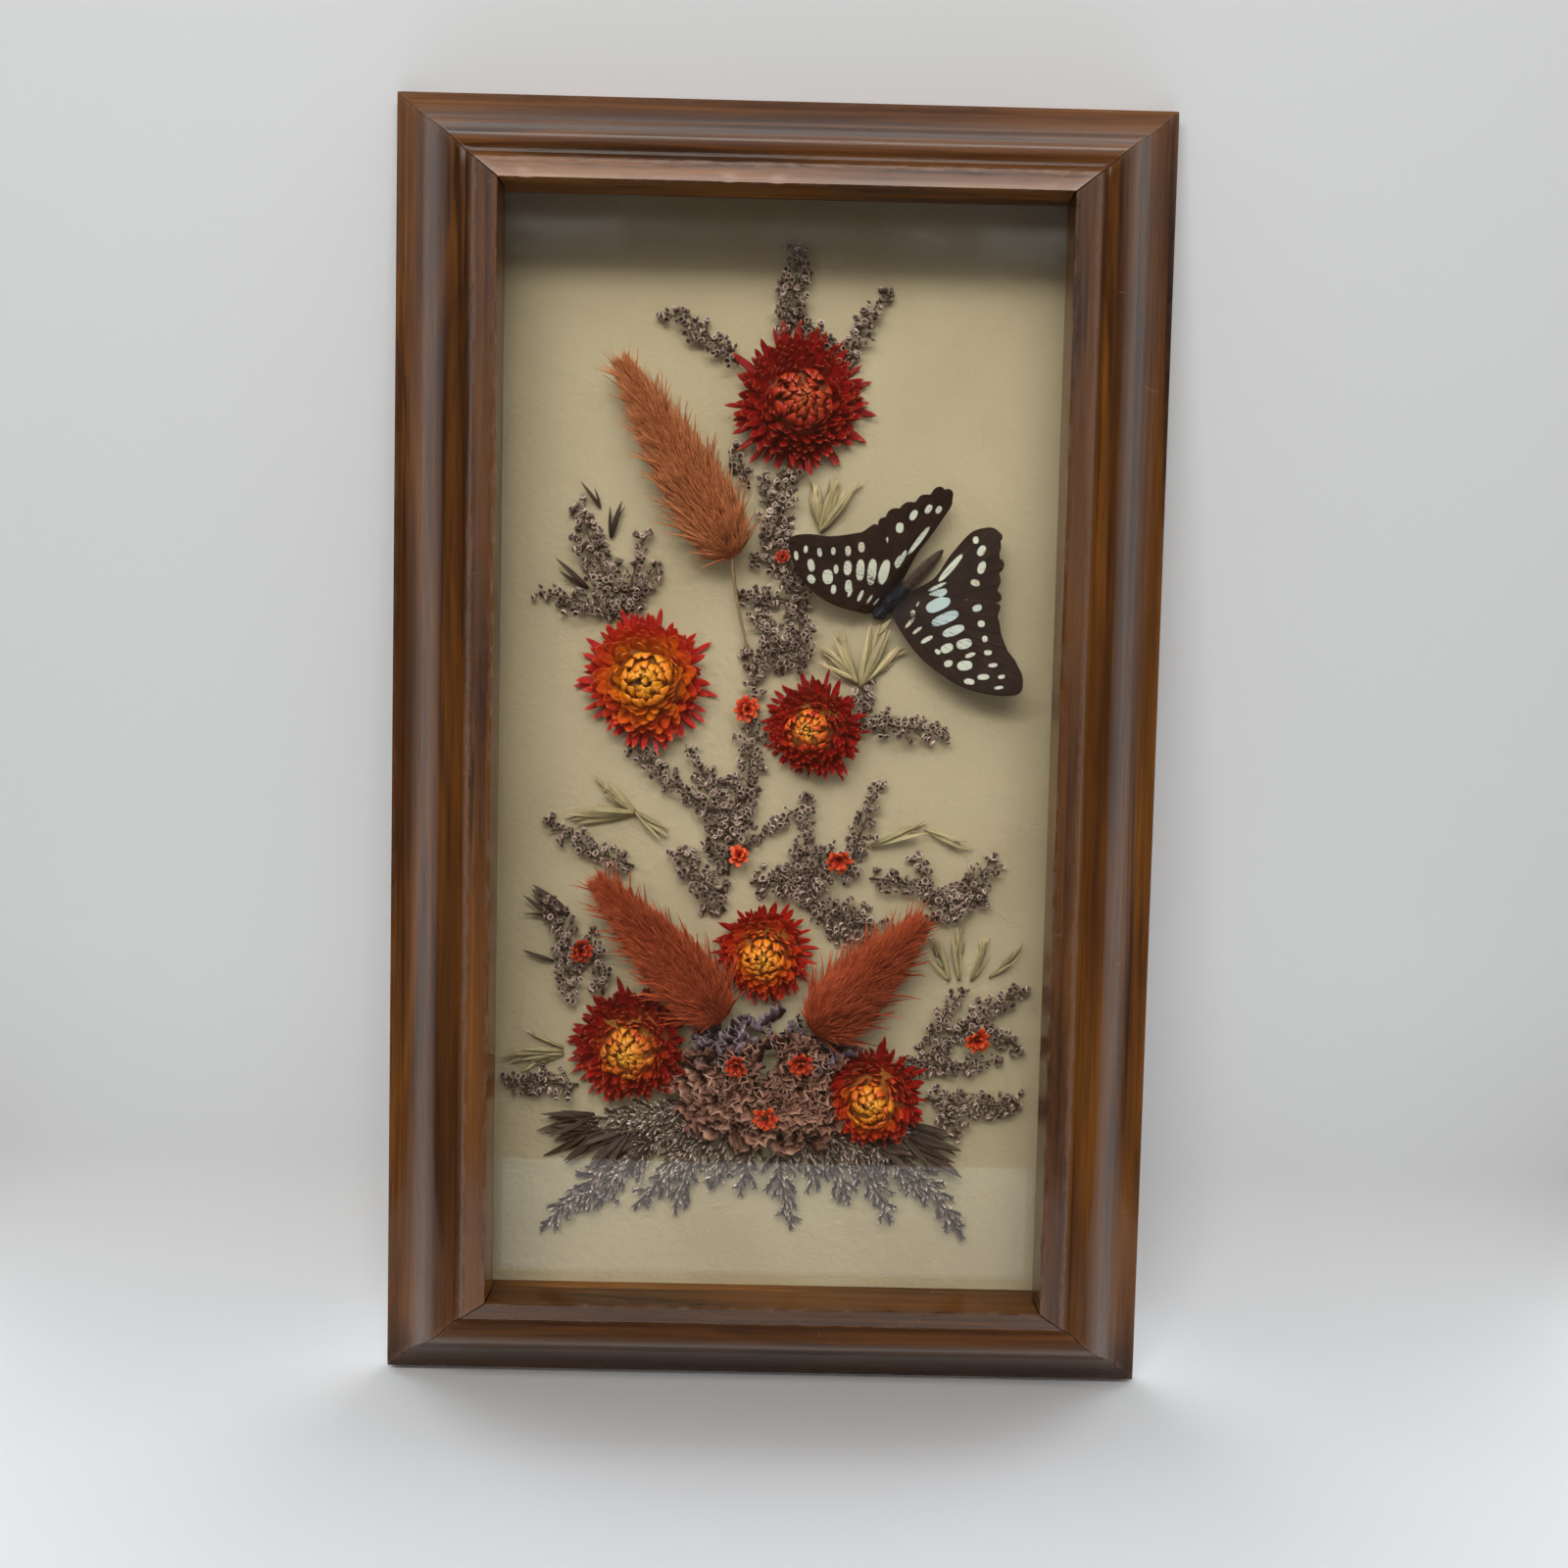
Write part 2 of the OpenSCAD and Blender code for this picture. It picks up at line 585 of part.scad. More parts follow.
// Ground below the butterfly's body
module body_ground() {
    c = at(thorax_at[0], thorax_at[1]);
    last = len(body_outline) - 1;
    translate(c) rotate(head_angle)
        translate([body_outline[0][1] - side_gap, -thorax_d / 2 - side_gap])
            square([body_outline[last][1] - body_outline[0][1] + 2 * side_gap, thorax_d + 2 * side_gap]);
}

module grasses() {
    color("palegoldenrod") on_backing() linear_extrude(leaf_t) difference() {
        cluster_shape(blades);
        taken_ground(len(clusters));
        twig_shape(side_gap);
        cluster_shape(leaves, side_gap);
        body_ground();
    }
}

module at_butterfly(z) {
    c = at(thorax_at[0], thorax_at[1]);
    on_backing() translate([c[0], c[1], z]) rotate(head_angle) children();
}

module butterfly_body() {
    r = thorax_d / 2;
    last = len(body_outline) - 1;
    color("black") at_butterfly(r + seat_gap) rotate([0, 90, 0]) rotate_extrude()
        polygon(concat([[0, body_outline[0][1]]], [for (p = body_outline) [p[0] * r, p[1]]],
            [[0, body_outline[last][1]]]));
}

// A flat wing on the side of the body given by side, raised by tilt, on layer 0 or 1
module wing(line, side, tilt, layer) {
    root_z = thorax_d + seat_gap + wing_play + layer * (wing_t + wing_play);
    at_butterfly(root_z) rotate([side * tilt, 0, 0])
        linear_extrude(wing_t) polygon([for (p = line) [p[0], side * p[1]]]);
}

module forewing_left() color("black") wing(forewing_left_line, -1, wing_tilt_left, 1);
module hindwing_left() color("black") wing(hindwing_left_line, -1, wing_tilt_left, 0);
module forewing_right() color("black") wing(forewing_right_line, 1, wing_tilt_right, 1);
module hindwing_right() color("black") wing(hindwing_right_line, 1, wing_tilt_right, 0);

top_rail();
bottom_rail();
left_rail();
right_rail();
corner_brads();
glass_pane();
glazing_beads();
backing_paper();
mount_board();
filler_boards();
rear_cover();
turn_button_upper_left();
turn_button_upper_right();
turn_button_lower_left();
turn_button_lower_right();
button_screws();
sawtooth_hanger();
hanger_nails();
butterfly_body();
forewing_left();
hindwing_left();
forewing_right();
hindwing_right();
strawflower_top();
strawflower_left();
strawflower_right();
strawflower_middle();
strawflower_low_left();
strawflower_low_right();
star_flowers();
bunny_tail_upper();
bunny_tail_low_left();
bunny_tail_low_right();
hydrangea_clump();
statice_top();
statice_centre();
statice_middle();
statice_left();
statice_right();
statice_low_left();
statice_low_right();
twig_fringe();
dark_leaves();
grasses();
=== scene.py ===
"""Looks of a wooden display case with a butterfly and dried flowers behind glass."""
import json
import math
import random

import bmesh
import bpy
import numpy as np
from mathutils import Matrix, Vector, geometry, noise

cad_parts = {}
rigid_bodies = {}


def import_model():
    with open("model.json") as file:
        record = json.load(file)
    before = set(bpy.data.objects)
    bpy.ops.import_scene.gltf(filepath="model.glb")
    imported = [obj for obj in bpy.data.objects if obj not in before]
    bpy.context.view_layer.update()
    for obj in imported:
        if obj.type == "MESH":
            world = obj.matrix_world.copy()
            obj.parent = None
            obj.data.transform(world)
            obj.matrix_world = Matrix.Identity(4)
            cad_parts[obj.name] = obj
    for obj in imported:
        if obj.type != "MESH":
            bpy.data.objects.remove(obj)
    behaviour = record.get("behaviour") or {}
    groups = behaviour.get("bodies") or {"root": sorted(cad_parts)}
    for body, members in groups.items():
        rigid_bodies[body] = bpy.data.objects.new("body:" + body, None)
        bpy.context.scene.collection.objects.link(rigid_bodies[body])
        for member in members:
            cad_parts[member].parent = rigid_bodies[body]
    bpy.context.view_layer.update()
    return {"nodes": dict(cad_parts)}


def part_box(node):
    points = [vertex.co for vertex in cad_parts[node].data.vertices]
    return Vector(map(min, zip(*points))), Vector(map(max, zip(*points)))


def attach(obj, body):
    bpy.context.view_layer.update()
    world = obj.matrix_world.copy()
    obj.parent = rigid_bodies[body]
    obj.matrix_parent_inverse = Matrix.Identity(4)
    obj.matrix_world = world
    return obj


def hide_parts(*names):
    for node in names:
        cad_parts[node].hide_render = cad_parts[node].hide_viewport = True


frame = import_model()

MM = 0.001
nodes = frame["nodes"]

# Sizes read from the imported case
case_lo, case_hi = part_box("left_rail")[0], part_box("right_rail")[1]
case_w = case_hi.x - case_lo.x
case_h = case_hi.z - case_lo.z
case_depth = -case_lo.y
middle_z = (case_lo.z + case_hi.z) / 2
backing_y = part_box("backing_paper")[0].y
glass_front_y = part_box("glass_pane")[0].y
# Sizes of the moulding's section, as in the part's source
side_h, cove_w, cove_rise = 5 * MM, 10 * MM, 10 * MM
quirk_w, quirk_rise = 3 * MM, 5 * MM
chamfer_w, chamfer_rise = 7.8 * MM, 9.5 * MM
rabbet_w, ledge_w = 6 * MM, 3 * MM
rail_w = 35 * MM
opening_w, opening_h = case_w - 2 * rail_w, case_h - 2 * rail_w


def on_backing(x, y, height=0.0):
    """Point of the arrangement: x and y in mm from the opening's middle, height in mm off the backing."""
    return Vector((x * MM, backing_y - height * MM, middle_z + y * MM))


# ---------------------------------------------------------------- finishes


class Reading:
    """What comes out of a node, so that sums on it can be written as Python expressions."""

    def __init__(self, finish, socket):
        self.finish, self.socket = finish, socket

    def math(self, operation, *others):
        values = [self, *others]
        node = self.finish.add("Math", {"operation": operation}, dict(enumerate(values)))
        return Reading(self.finish, node.outputs[0])

    def __add__(self, other): return self.math("ADD", other)
    def __radd__(self, other): return self.math("ADD", other)
    def __sub__(self, other): return self.math("SUBTRACT", other)
    def __rsub__(self, other): return (self * -1).math("ADD", other)
    def __mul__(self, other): return self.math("MULTIPLY", other)
    def __rmul__(self, other): return self.math("MULTIPLY", other)
    def least(self, other): return self.math("MINIMUM", other)
    def most(self, other): return self.math("MAXIMUM", other)
    def size(self): return self.math("ABSOLUTE")

    def rise(self, start, end, low=0.0, high=1.0):
        """A smooth step from low to high as this goes from start to end."""
        node = self.finish.add("MapRange", {"interpolation_type": "SMOOTHSTEP"},
                               {"Value": self, "From Min": start, "From Max": end,
                                "To Min": low, "To Max": high})
        return Reading(self.finish, node.outputs[0])

    def colours(self, *stops):
        """A colour ramp over this value: stops are (place, colour)."""
        node = self.finish.add("ValToRGB", {"stops": stops}, {0: self})
        return Reading(self.finish, node.outputs["Color"])


class Nodes:
    """A node tree that is built node by node."""

    def __init__(self, tree):
        self.tree = tree
        tree.nodes.clear()

    def add(self, kind, settings=(), inputs=()):
        """A node of this kind, with its settings made first and then its inputs' values or links."""
        node = self.tree.nodes.new(kind if "Node" in kind else "ShaderNode" + kind)
        for name, value in dict(settings).items():
            if name == "stops":
                ramp = node.color_ramp
                while len(ramp.elements) < len(value):
                    ramp.elements.new(0.5)
                for element, (place, colour) in zip(ramp.elements, value):
                    element.position, element.color = place, (*colour, 1)
            else:
                setattr(node, name, value)
        for name, value in dict(inputs).items():
            self.feed(node.inputs[name], value)
        return node

    def feed(self, socket, value):
        if isinstance(value, Reading):
            value = value.socket
        if isinstance(value, bpy.types.NodeSocket):
            self.tree.links.new(value, socket)
        elif socket.type == "RGBA" and len(value) == 3:
            socket.default_value = (*value, 1)
        else:
            socket.default_value = value

    def read(self, node, output=0):
        return Reading(self, node.outputs[output])

    def parts(self, vector):
        node = self.add("SeparateXYZ", {}, {0: vector})
        return [self.read(node, i) for i in range(3)]

    def vector(self, x, y, z):
        return self.read(self.add("CombineXYZ", {}, {0: x, 1: y, 2: z}))

    def stretch(self, vector, scale, shift=(0, 0, 0)):
        node = self.add("Mapping", {}, {"Vector": vector, "Scale": scale, "Location": shift})
        return self.read(node)

    def noise(self, vector, scale, detail=3, roughness=0.5, distortion=0.0):
        node = self.add("TexNoise", {}, {"Vector": vector, "Scale": scale, "Detail": detail,
                                         "Roughness": roughness, "Distortion": distortion})
        return self.read(node)

    def cells(self, vector, scale):
        return self.read(self.add("TexVoronoi", {}, {"Vector": vector, "Scale": scale}), "Distance")

    def blend(self, share, a, b, how="MIX"):
        """Colour a turned into b by share."""
        node = self.add("Mix", {"data_type": "RGBA", "blend_type": how})
        for slot, value in ((0, share), (6, a), (7, b)):
            self.feed(node.inputs[slot], value)
        return self.read(node, 2)


class Finish(Nodes):
    """A material round one Principled shader."""

    def __init__(self, name, **plain):
        self.material = bpy.data.materials.new(name)
        self.material.use_nodes = True
        super().__init__(self.material.node_tree)
        self.output = self.add("OutputMaterial")
        self.shader = self.add("BsdfPrincipled", {}, plain)
        self.show(self.shader.outputs[0])

    def show(self, shader):
        self.feed(self.output.inputs["Surface"], shader)

    def set(self, **inputs):
        """Feeds inputs of the Principled shader: a name's spaces are written as underscores."""
        for name, value in inputs.items():
            self.feed(self.shader.inputs[name.replace("_", " ")], value)

    def place(self):
        return self.read(self.add("TexCoord"), "Object")

    def mark(self, name, output="Fac"):
        """An attribute that the piece's mesh carries."""
        return self.read(self.add("Attribute", {"attribute_name": name}), output)

    def bump(self, height, depth, strength=1.0):
        """Feeds the shader's normal with a relief: depth in metres for a height of 1."""
        self.set(Normal=self.read(self.add("Bump", {}, {
            "Height": height, "Distance": depth, "Strength": strength})))

    def mix(self, share, a, b):
        """The output of shader a turned into shader b by share."""
        node = self.add("MixShader", {}, {0: share, 1: a, 2: b})
        return node.outputs[0]


def walnut_stain():
    """Walnut-stained wood under a thin worn lacquer. The grain runs along the rail."""
    f = Finish("walnut_stain", **{"Specular IOR Level": 0.12})
    grain = f.mark("grain", "Vector")
    edge = f.mark("edge")
    streaks = f.noise(f.stretch(grain, (7, 190, 190)), 1, 4, 0.6, 0.6)
    pores = f.noise(f.stretch(grain, (60, 2600, 2600)), 1, 2, 0.6)
    fine = f.noise(f.stretch(grain, (25, 900, 900)), 1, 3, 0.6)
    broad = f.noise(f.stretch(grain, (9, 42, 42), (3, 1, 2)), 1, 3, 0.5, 0.8)
    dark = f.noise(f.stretch(grain, (5, 75, 75), (9, 4, 7)), 1, 3, 0.55, 1.2)
    worn = f.noise(f.stretch(grain, (160, 400, 400)), 1, 4, 0.65)
    tone = (broad * 0.55 + streaks * 0.45).colours(
        (0.30, (0.036, 0.0125, 0.0048)), (0.43, (0.108, 0.0385, 0.0098)),
        (0.55, (0.195, 0.0700, 0.0138)), (0.70, (0.305, 0.1150, 0.0175)))
    tone = f.blend(dark.rise(0.54, 0.68, 0, 0.75), tone, (0.013, 0.0065, 0.0048))
    tone = f.blend(fine.rise(0.35, 0.70, 0.0, 0.35), tone, (0.022, 0.009, 0.005))
    tone = f.blend(pores.rise(0.62, 0.72, 0, 0.55), tone, (0.009, 0.005, 0.004))
    # The rails darken towards the case's foot: painted shade on the downward faces.
    painted_foot_shade = f.parts(f.place())[2].rise(case_lo.z + 0.004, case_lo.z + 0.022, 0.72, 0)
    tone = f.blend(painted_foot_shade, tone, (0.016, 0.0065, 0.0040))  # painted shade on the underside where it stands
    rub = (edge * worn.rise(0.40, 0.62)).most(edge.rise(0.82, 1.0) * worn.rise(0.30, 0.5, 0.2, 0.8))
    tone = f.blend(rub * 0.7, tone, (0.22, 0.120, 0.072))
    scratch = f.noise(f.stretch(grain, (520, 75, 75), (2, 8, 5)), 1, 1, 0.5, 0.3).rise(0.785, 0.80)
    tone = f.blend(scratch * 0.2, tone, (0.32, 0.20, 0.14))
    f.set(Base_Color=tone, Roughness=(fine * 0.06 + 0.11) + rub * 0.25)
    f.bump(pores.rise(0.5, 0.75, 1, 0) * 0.6 + fine * 0.5 - scratch, 0.000018, 0.6)
    return f.material


def clear_glass():
    """Window glass, dusty along its top, that lets the lamps through."""
    f = Finish("clear_glass", **{"Base Color": (0.97, 0.985, 0.98), "Roughness": 0.0, "IOR": 1.5,
                                 "Transmission Weight": 1.0})
    x, y, z = f.parts(f.place())
    top = (z - (middle_z + opening_h / 2)) * -1
    side = x.size() * -1 + opening_w / 2
    haze = f.noise(f.place(), 60, 4, 0.6, 0.5)
    specks = f.cells(f.place(), 420)
    film = top.rise(0.0, 0.022, 1, 0) * (side.rise(0.0, 0.055, 1.0, 0.35))
    dust = film * haze.rise(0.25, 0.75, 0.25, 1.0) * 0.11
    speck = specks.rise(0.0, 0.13, 1, 0) * haze.rise(0.56, 0.62)
    dusty = f.add("BsdfDiffuse", {}, {"Color": (0.80, 0.79, 0.77)})
    glass = f.mix((dust + speck * top.rise(0.0, 0.05, 0.35, 0.05)).least(0.6),
                  f.shader.outputs[0], dusty.outputs[0])
    clear = f.add("BsdfTransparent", {}, {"Color": (0.93, 0.95, 0.94)})
    f.show(f.mix(f.read(f.add("LightPath"), "Is Shadow Ray"), glass, clear.outputs[0]))
    return f.material


def cream_paper():
    """Cream card with a pressed leathery texture, a little stained with age."""
    f = Finish("cream_paper", Roughness=0.85)
    p = f.place()
    stain = f.noise(p, 14, 4, 0.55, 0.4)
    fleck = f.noise(p, 900, 2, 0.6)
    tone = f.blend(stain.rise(0.35, 0.7), (0.46, 0.385, 0.245), (0.41, 0.335, 0.205))
    tone = f.blend(fleck.rise(0.55, 0.8, 0, 0.25), tone, (0.35, 0.28, 0.165))
    f.set(Base_Color=tone)
    tooth = f.noise(f.stretch(p, (1, 1, 1.25)), 420, 4, 0.62, 0.3)
    crease = f.noise(p, 150, 3, 0.5, 1.5)
    f.bump(tooth * 0.7 + crease * 0.5, 0.00055, 0.75)
    return f.material


def board_finish(name, tone, dark):
    """Pressed board seen from the back or at its edges."""
    f = Finish(name, Roughness=0.8)
    p = f.place()
    cloud = f.noise(p, 22, 5, 0.6)
    fibre = f.noise(f.stretch(p, (1, 1, 3)), 500, 3, 0.6)
    shade = f.blend(cloud.rise(0.3, 0.7), tone, dark)
    shade = f.blend(fibre.rise(0.5, 0.75, 0, 0.5), shade, tuple(c * 0.45 for c in dark))
    f.set(Base_Color=shade, Roughness=fibre * 0.3 + 0.6)
    f.bump(fibre + cloud * 0.4, 0.0001, 0.7)
    return f.material


def corrugated_board():
    """Brown board whose edge shows its flutes, with painted shade in their grooves."""
    f = Finish("corrugated_board", Roughness=0.85)
    p = f.place()
    x, y, z = f.parts(p)
    flute = ((x + z) * 1400).math("SINE")
    fibre = f.noise(p, 380, 3, 0.6)
    tone = f.blend(fibre.rise(0.3, 0.7), (0.33, 0.19, 0.085), (0.24, 0.13, 0.055))
    # Painted shade in the flutes' grooves, where the relief sinks.
    tone = f.blend(flute.rise(-0.2, 0.5, 0.35, 0), tone, (0.10, 0.055, 0.025))
    f.set(Base_Color=tone)
    f.bump(flute * 0.5 + fibre, 0.0001)
    return f.material


def plated(name, tone, stain, roughness):
    """Plated steel with a dull patina and fine rubbing marks."""
    f = Finish(name, Metallic=1.0)
    p = f.place()
    cloud = f.noise(p, 240, 4, 0.6)
    rub = f.noise(f.stretch(p, (1, 1, 12)), 900, 2, 0.6)
    f.set(Base_Color=f.blend(cloud.rise(0.45, 0.75, 0, 0.8), tone, stain),
          Roughness=cloud * 0.25 + rub * 0.12 + roughness)
    f.bump(rub + cloud, 0.00003, 0.6)
    return f.material


# ---------------------------------------------------------------- pieces


def piece_of(name, verts, faces, material, smooth=True, **marks):
    """A mesh object of a piece. marks are values for each vertex, a number or a vector each."""
    mesh = bpy.data.meshes.new(name)
    mesh.from_pydata([tuple(v) for v in verts], [], faces)
    mesh.validate()
    for key, values in marks.items():
        flat = np.asarray(values, np.float32)
        kind = "FLOAT" if flat.ndim == 1 else "FLOAT_VECTOR"
        layer = mesh.attributes.new(key, kind, "POINT")
        layer.data.foreach_set("value" if kind == "FLOAT" else "vector", flat.ravel())
    mesh.polygons.foreach_set("use_smooth", [smooth] * len(mesh.polygons))
    if material:
        mesh.materials.append(material)
    thing = bpy.data.objects.new(name, mesh)
    bpy.context.scene.collection.objects.link(thing)
    return thing


def face_out(thing, merge=0.0):
    """Turns a closed mesh's faces outwards, after merging what lies within merge."""
    form = bmesh.new()
    form.from_mesh(thing.data)
    if merge:
        bmesh.ops.remove_doubles(form, verts=form.verts, dist=merge)
    bmesh.ops.recalc_face_normals(form, faces=form.faces)
    form.to_mesh(thing.data)
    form.free()


def fasten(thing, slot, node):
    """The piece rides on the case and stands for its CAD node, which is hidden. slot is not used."""
    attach(thing, "case")
    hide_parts(node)


def round_steps(sides):
    """The angles of a ring of points."""
    return [2 * math.pi * j / sides for j in range(sides)]


def ring_faces(rings, sides, first=0, ends=True):
    """Faces of a body whose points are rings one after another, with its two ends."""
    faces = [(first + i * sides + j, first + i * sides + (j + 1) % sides,
              first + (i + 1) * sides + (j + 1) % sides, first + (i + 1) * sides + j)
             for i in range(rings - 1) for j in range(sides)]
    if ends:
        faces += [tuple(range(first + i * sides, first + (i + 1) * sides)) for i in (0, rings - 1)]
    return faces


def bend(a, b, c, d, steps):
    """Points of a curve from a to d, drawn towards b and c, without its first point."""
    a, b, c, d = (np.array(p, float) for p in (a, b, c, d))
    ts = [i / steps for i in range(1, steps + 1)]
    return [(1 - t) ** 3 * a + 3 * (1 - t) ** 2 * t * b + 3 * (1 - t) * t * t * c + t ** 3 * d
            for t in ts]


def rounded(before, corner, after, radius, steps=3):
    """A corner eased over radius, as a short run of points."""
    before, corner, after = (np.array(p, float) for p in (before, corner, after))
    start = corner + (before - corner) / np.linalg.norm(before - corner) * radius
    end = corner + (after - corner) / np.linalg.norm(after - corner) * radius
    return [start] + bend(start, corner, corner, end, steps)


def moulding_profile():
    """The rail's section as (inset, height, worn edge), from the rabbet round the face and back."""
    depth = case_depth
    bulge_in = rail_w - chamfer_w - quirk_w
    bulge_up = depth - chamfer_rise - quirk_rise
    lip = -glass_front_y
    rabbet_in = rail_w - rabbet_w
    ledge_in = rabbet_in - ledge_w
    back = -backing_y
    side_top = (0, side_h)
    cove_end = (cove_w, side_h + cove_rise)
    bulge_end = (bulge_in, bulge_up)
    arris = (rail_w - chamfer_w, depth - chamfer_rise)
    sight = (rail_w, depth)
    run, climb = bulge_in - cove_w, bulge_up - side_h - cove_rise
    cove = bend(side_top, (cove_w * 0.4, side_h + cove_rise * 0.28),
                (cove_w * 0.75, side_h + cove_rise * 0.62), cove_end, 10)
    bulge = bend(cove_end, (cove_w + run * 0.42, cove_end[1] + climb * 0.64),
                 (bulge_in - run * 0.4, bulge_up), bulge_end, 26)
    line = [(rabbet_in, back), (ledge_in, back), (ledge_in, 0)]
    marks = [0.0] * len(line)

    def put(points, mark):
        line.extend(tuple(p) for p in points)
        marks.extend([mark] * len(points))

    put(rounded((ledge_in, 0), (0, 0), side_top, 0.4 * MM), 0.5)
    put(rounded((0, 0), side_top, cove[0], 0.5 * MM, 4), 0.3)
    put(cove[1:] + bulge[:-1] + [bulge_end], 0.0)
    put([np.array(bulge_end) * 0.35 + np.array(arris) * 0.65], 0.15)
    put(rounded(bulge_end, arris, sight, 0.45 * MM, 3), 1.0)
    for share in (0.2, 0.45, 0.7):
        put([np.array(arris) * (1 - share) + np.array(sight) * share], 0.12)
    put(rounded(arris, sight, (rail_w, lip), 0.5 * MM, 3), 0.6)
    for share in (0.3, 0.65):
        put([(rail_w, depth * (1 - share) + lip * share)], 0.0)
    put([(rail_w, lip + 0.25 * MM), (rail_w - 0.25 * MM, lip), (rabbet_in, lip)], 0.0)
    return line, marks


MITRE_GAP = 0.16 * MM
SIDE_WEAR = 0.05 * MM
RAIL_STEPS = 150


def rail_piece(name, side, seed):
    """A mitred rail. side is its outward direction, (x, z)."""
    out = Vector((side[0], 0, side[1]))
    along = Vector((-side[1], 0, side[0]))
    span = case_h if side[0] else case_w
    reach = (case_w if side[0] else case_h) / 2
    centre = Vector((0, 0, middle_z))
    line, marks = moulding_profile()
    verts, grain, edge = [], [], []
    for j in range(RAIL_STEPS + 1):
        s = 2 * j / RAIL_STEPS - 1
        for (inset, height), mark in zip(line, marks):
            inset = max(inset, SIDE_WEAR)
            open_gap = MITRE_GAP * (0.35 + 1.2 * (inset / rail_w) ** 2)
            run = s * (span / 2 - inset - open_gap)
            sway = noise.noise(Vector((run * 14 + seed, inset * 60, height * 60))) * 0.05 * MM
            chip = 0.0
            if mark > 0.4:
                knock = noise.noise(Vector((run * 160 + seed * 3, inset * 90, height * 90)))
                chip = max(0.0, knock - 0.28) * (1.1 if mark > 0.9 else 1.6) * MM
            to_mitre = span / 2 - inset - abs(run)
            drop = max(0.0, 1 - to_mitre / (0.7 * MM)) ** 2 * 0.18 * MM + chip * 0.45
            place = (centre + out * (reach - inset - chip * 0.35) + along * run
                     + Vector((0, -(max(height - drop - abs(sway) * (height > side_h), 0.0)), 0)))
            verts.append(place)
            grain.append((run + seed * 0.7, inset + seed * 0.31, height))
            at_end = 0.85 * max(0.0, 1 - to_mitre / (0.5 * MM)) if height > side_h else 0.0
            edge.append(max(mark, at_end))
    rail = piece_of(name, verts, ring_faces(RAIL_STEPS + 1, len(line)), walnut, grain=grain, edge=edge)
    face_out(rail)
    rail.data.set_sharp_from_angle(angle=math.radians(38))
    fasten(rail, "walnut_stain", name.replace("_moulding", ""))


walnut = walnut_stain()
for number, (which, side) in enumerate({"top": (0, 1), "bottom": (0, -1), "left": (-1, 0),
                                        "right": (1, 0)}.items()):
    rail_piece(which + "_rail_moulding", side, 1.7 + 2.3 * number)

CARRIED_OVER = {
    "glass_pane": clear_glass(),
    "backing_paper": cream_paper(),
    "mount_board": board_finish("grey_board", (0.30, 0.28, 0.25), (0.24, 0.22, 0.19)),
    "filler_boards": corrugated_board(),
    "rear_cover": board_finish("hardboard", (0.17, 0.085, 0.038), (0.12, 0.058, 0.026)),
    "glazing_beads": board_finish("bead_wood", (0.040, 0.018, 0.010), (0.025, 0.011, 0.007)),
    "corner_brads": plated("brad_steel", (0.42, 0.41, 0.39), (0.16, 0.13, 0.11), 0.35),
    "sawtooth_hanger": plated("brassed_hanger", (0.80, 0.62, 0.30), (0.48, 0.33, 0.15), 0.25),
    "hanger_nails": plated("nail_steel", (0.55, 0.54, 0.52), (0.25, 0.2, 0.16), 0.3),
    "button_screws": plated("brassed_screw", (0.78, 0.60, 0.27), (0.45, 0.30, 0.13), 0.25),
}
plate = plated("brassed_plate", (0.83, 0.66, 0.32), (0.55, 0.38, 0.17), 0.22)
CARRIED_OVER.update({n: plate for n in nodes if n.startswith("turn_button")})
for node, material in CARRIED_OVER.items():
    nodes[node].data.materials.clear()
    nodes[node].data.materials.append(material)

# ---------------------------------------------------------------- small shapes, set out in numbers


def set_out_tree():
    """Nodes that put copies of small shapes on points, turned and sized as the points say."""
    tree = bpy.data.node_groups.new("set_out", "GeometryNodeTree")
    for label, kind, way in (("Points", "Geometry", "INPUT"), ("Shapes", "Collection", "INPUT"),
                             ("Size", "Float", "INPUT"), ("Finish", "Material", "INPUT"),
                             ("Piece", "Geometry", "OUTPUT")):
        tree.interface.new_socket(label, in_out=way, socket_type="NodeSocket" + kind)
    net = Nodes(tree)
    given = net.add("NodeGroupInput").outputs
    which, turn, grow = (
        net.add("GeometryNodeInputNamedAttribute", {"data_type": kind}, {"Name": mark}).outputs["Attribute"]
        for mark, kind in (("which", "INT"), ("turn", "FLOAT_VECTOR"), ("grow", "FLOAT_VECTOR")))
    shapes = net.add("GeometryNodeCollectionInfo", {}, {
        "Collection": given["Shapes"], "Separate Children": True, "Reset Children": True})
    turn = net.add("FunctionNodeEulerToRotation", {}, {0: turn})
    grow = net.add("ShaderNodeVectorMath", {"operation": "SCALE"}, {0: grow, "Scale": given["Size"]})
    copies = net.add("GeometryNodeInstanceOnPoints", {}, {
        "Points": given["Points"], "Instance": shapes.outputs[0], "Pick Instance": True,
        "Instance Index": which, "Rotation": turn.outputs[0], "Scale": grow.outputs[0]})
    solid = net.add("GeometryNodeRealizeInstances", {}, {"Geometry": copies.outputs[0]})
    finish = net.add("GeometryNodeSetMaterial", {}, {
        "Geometry": solid.outputs[0], "Material": given["Finish"]})
    net.add("NodeGroupOutput", {}, {"Piece": finish.outputs[0]})
    return tree


SET_OUT = set_out_tree()


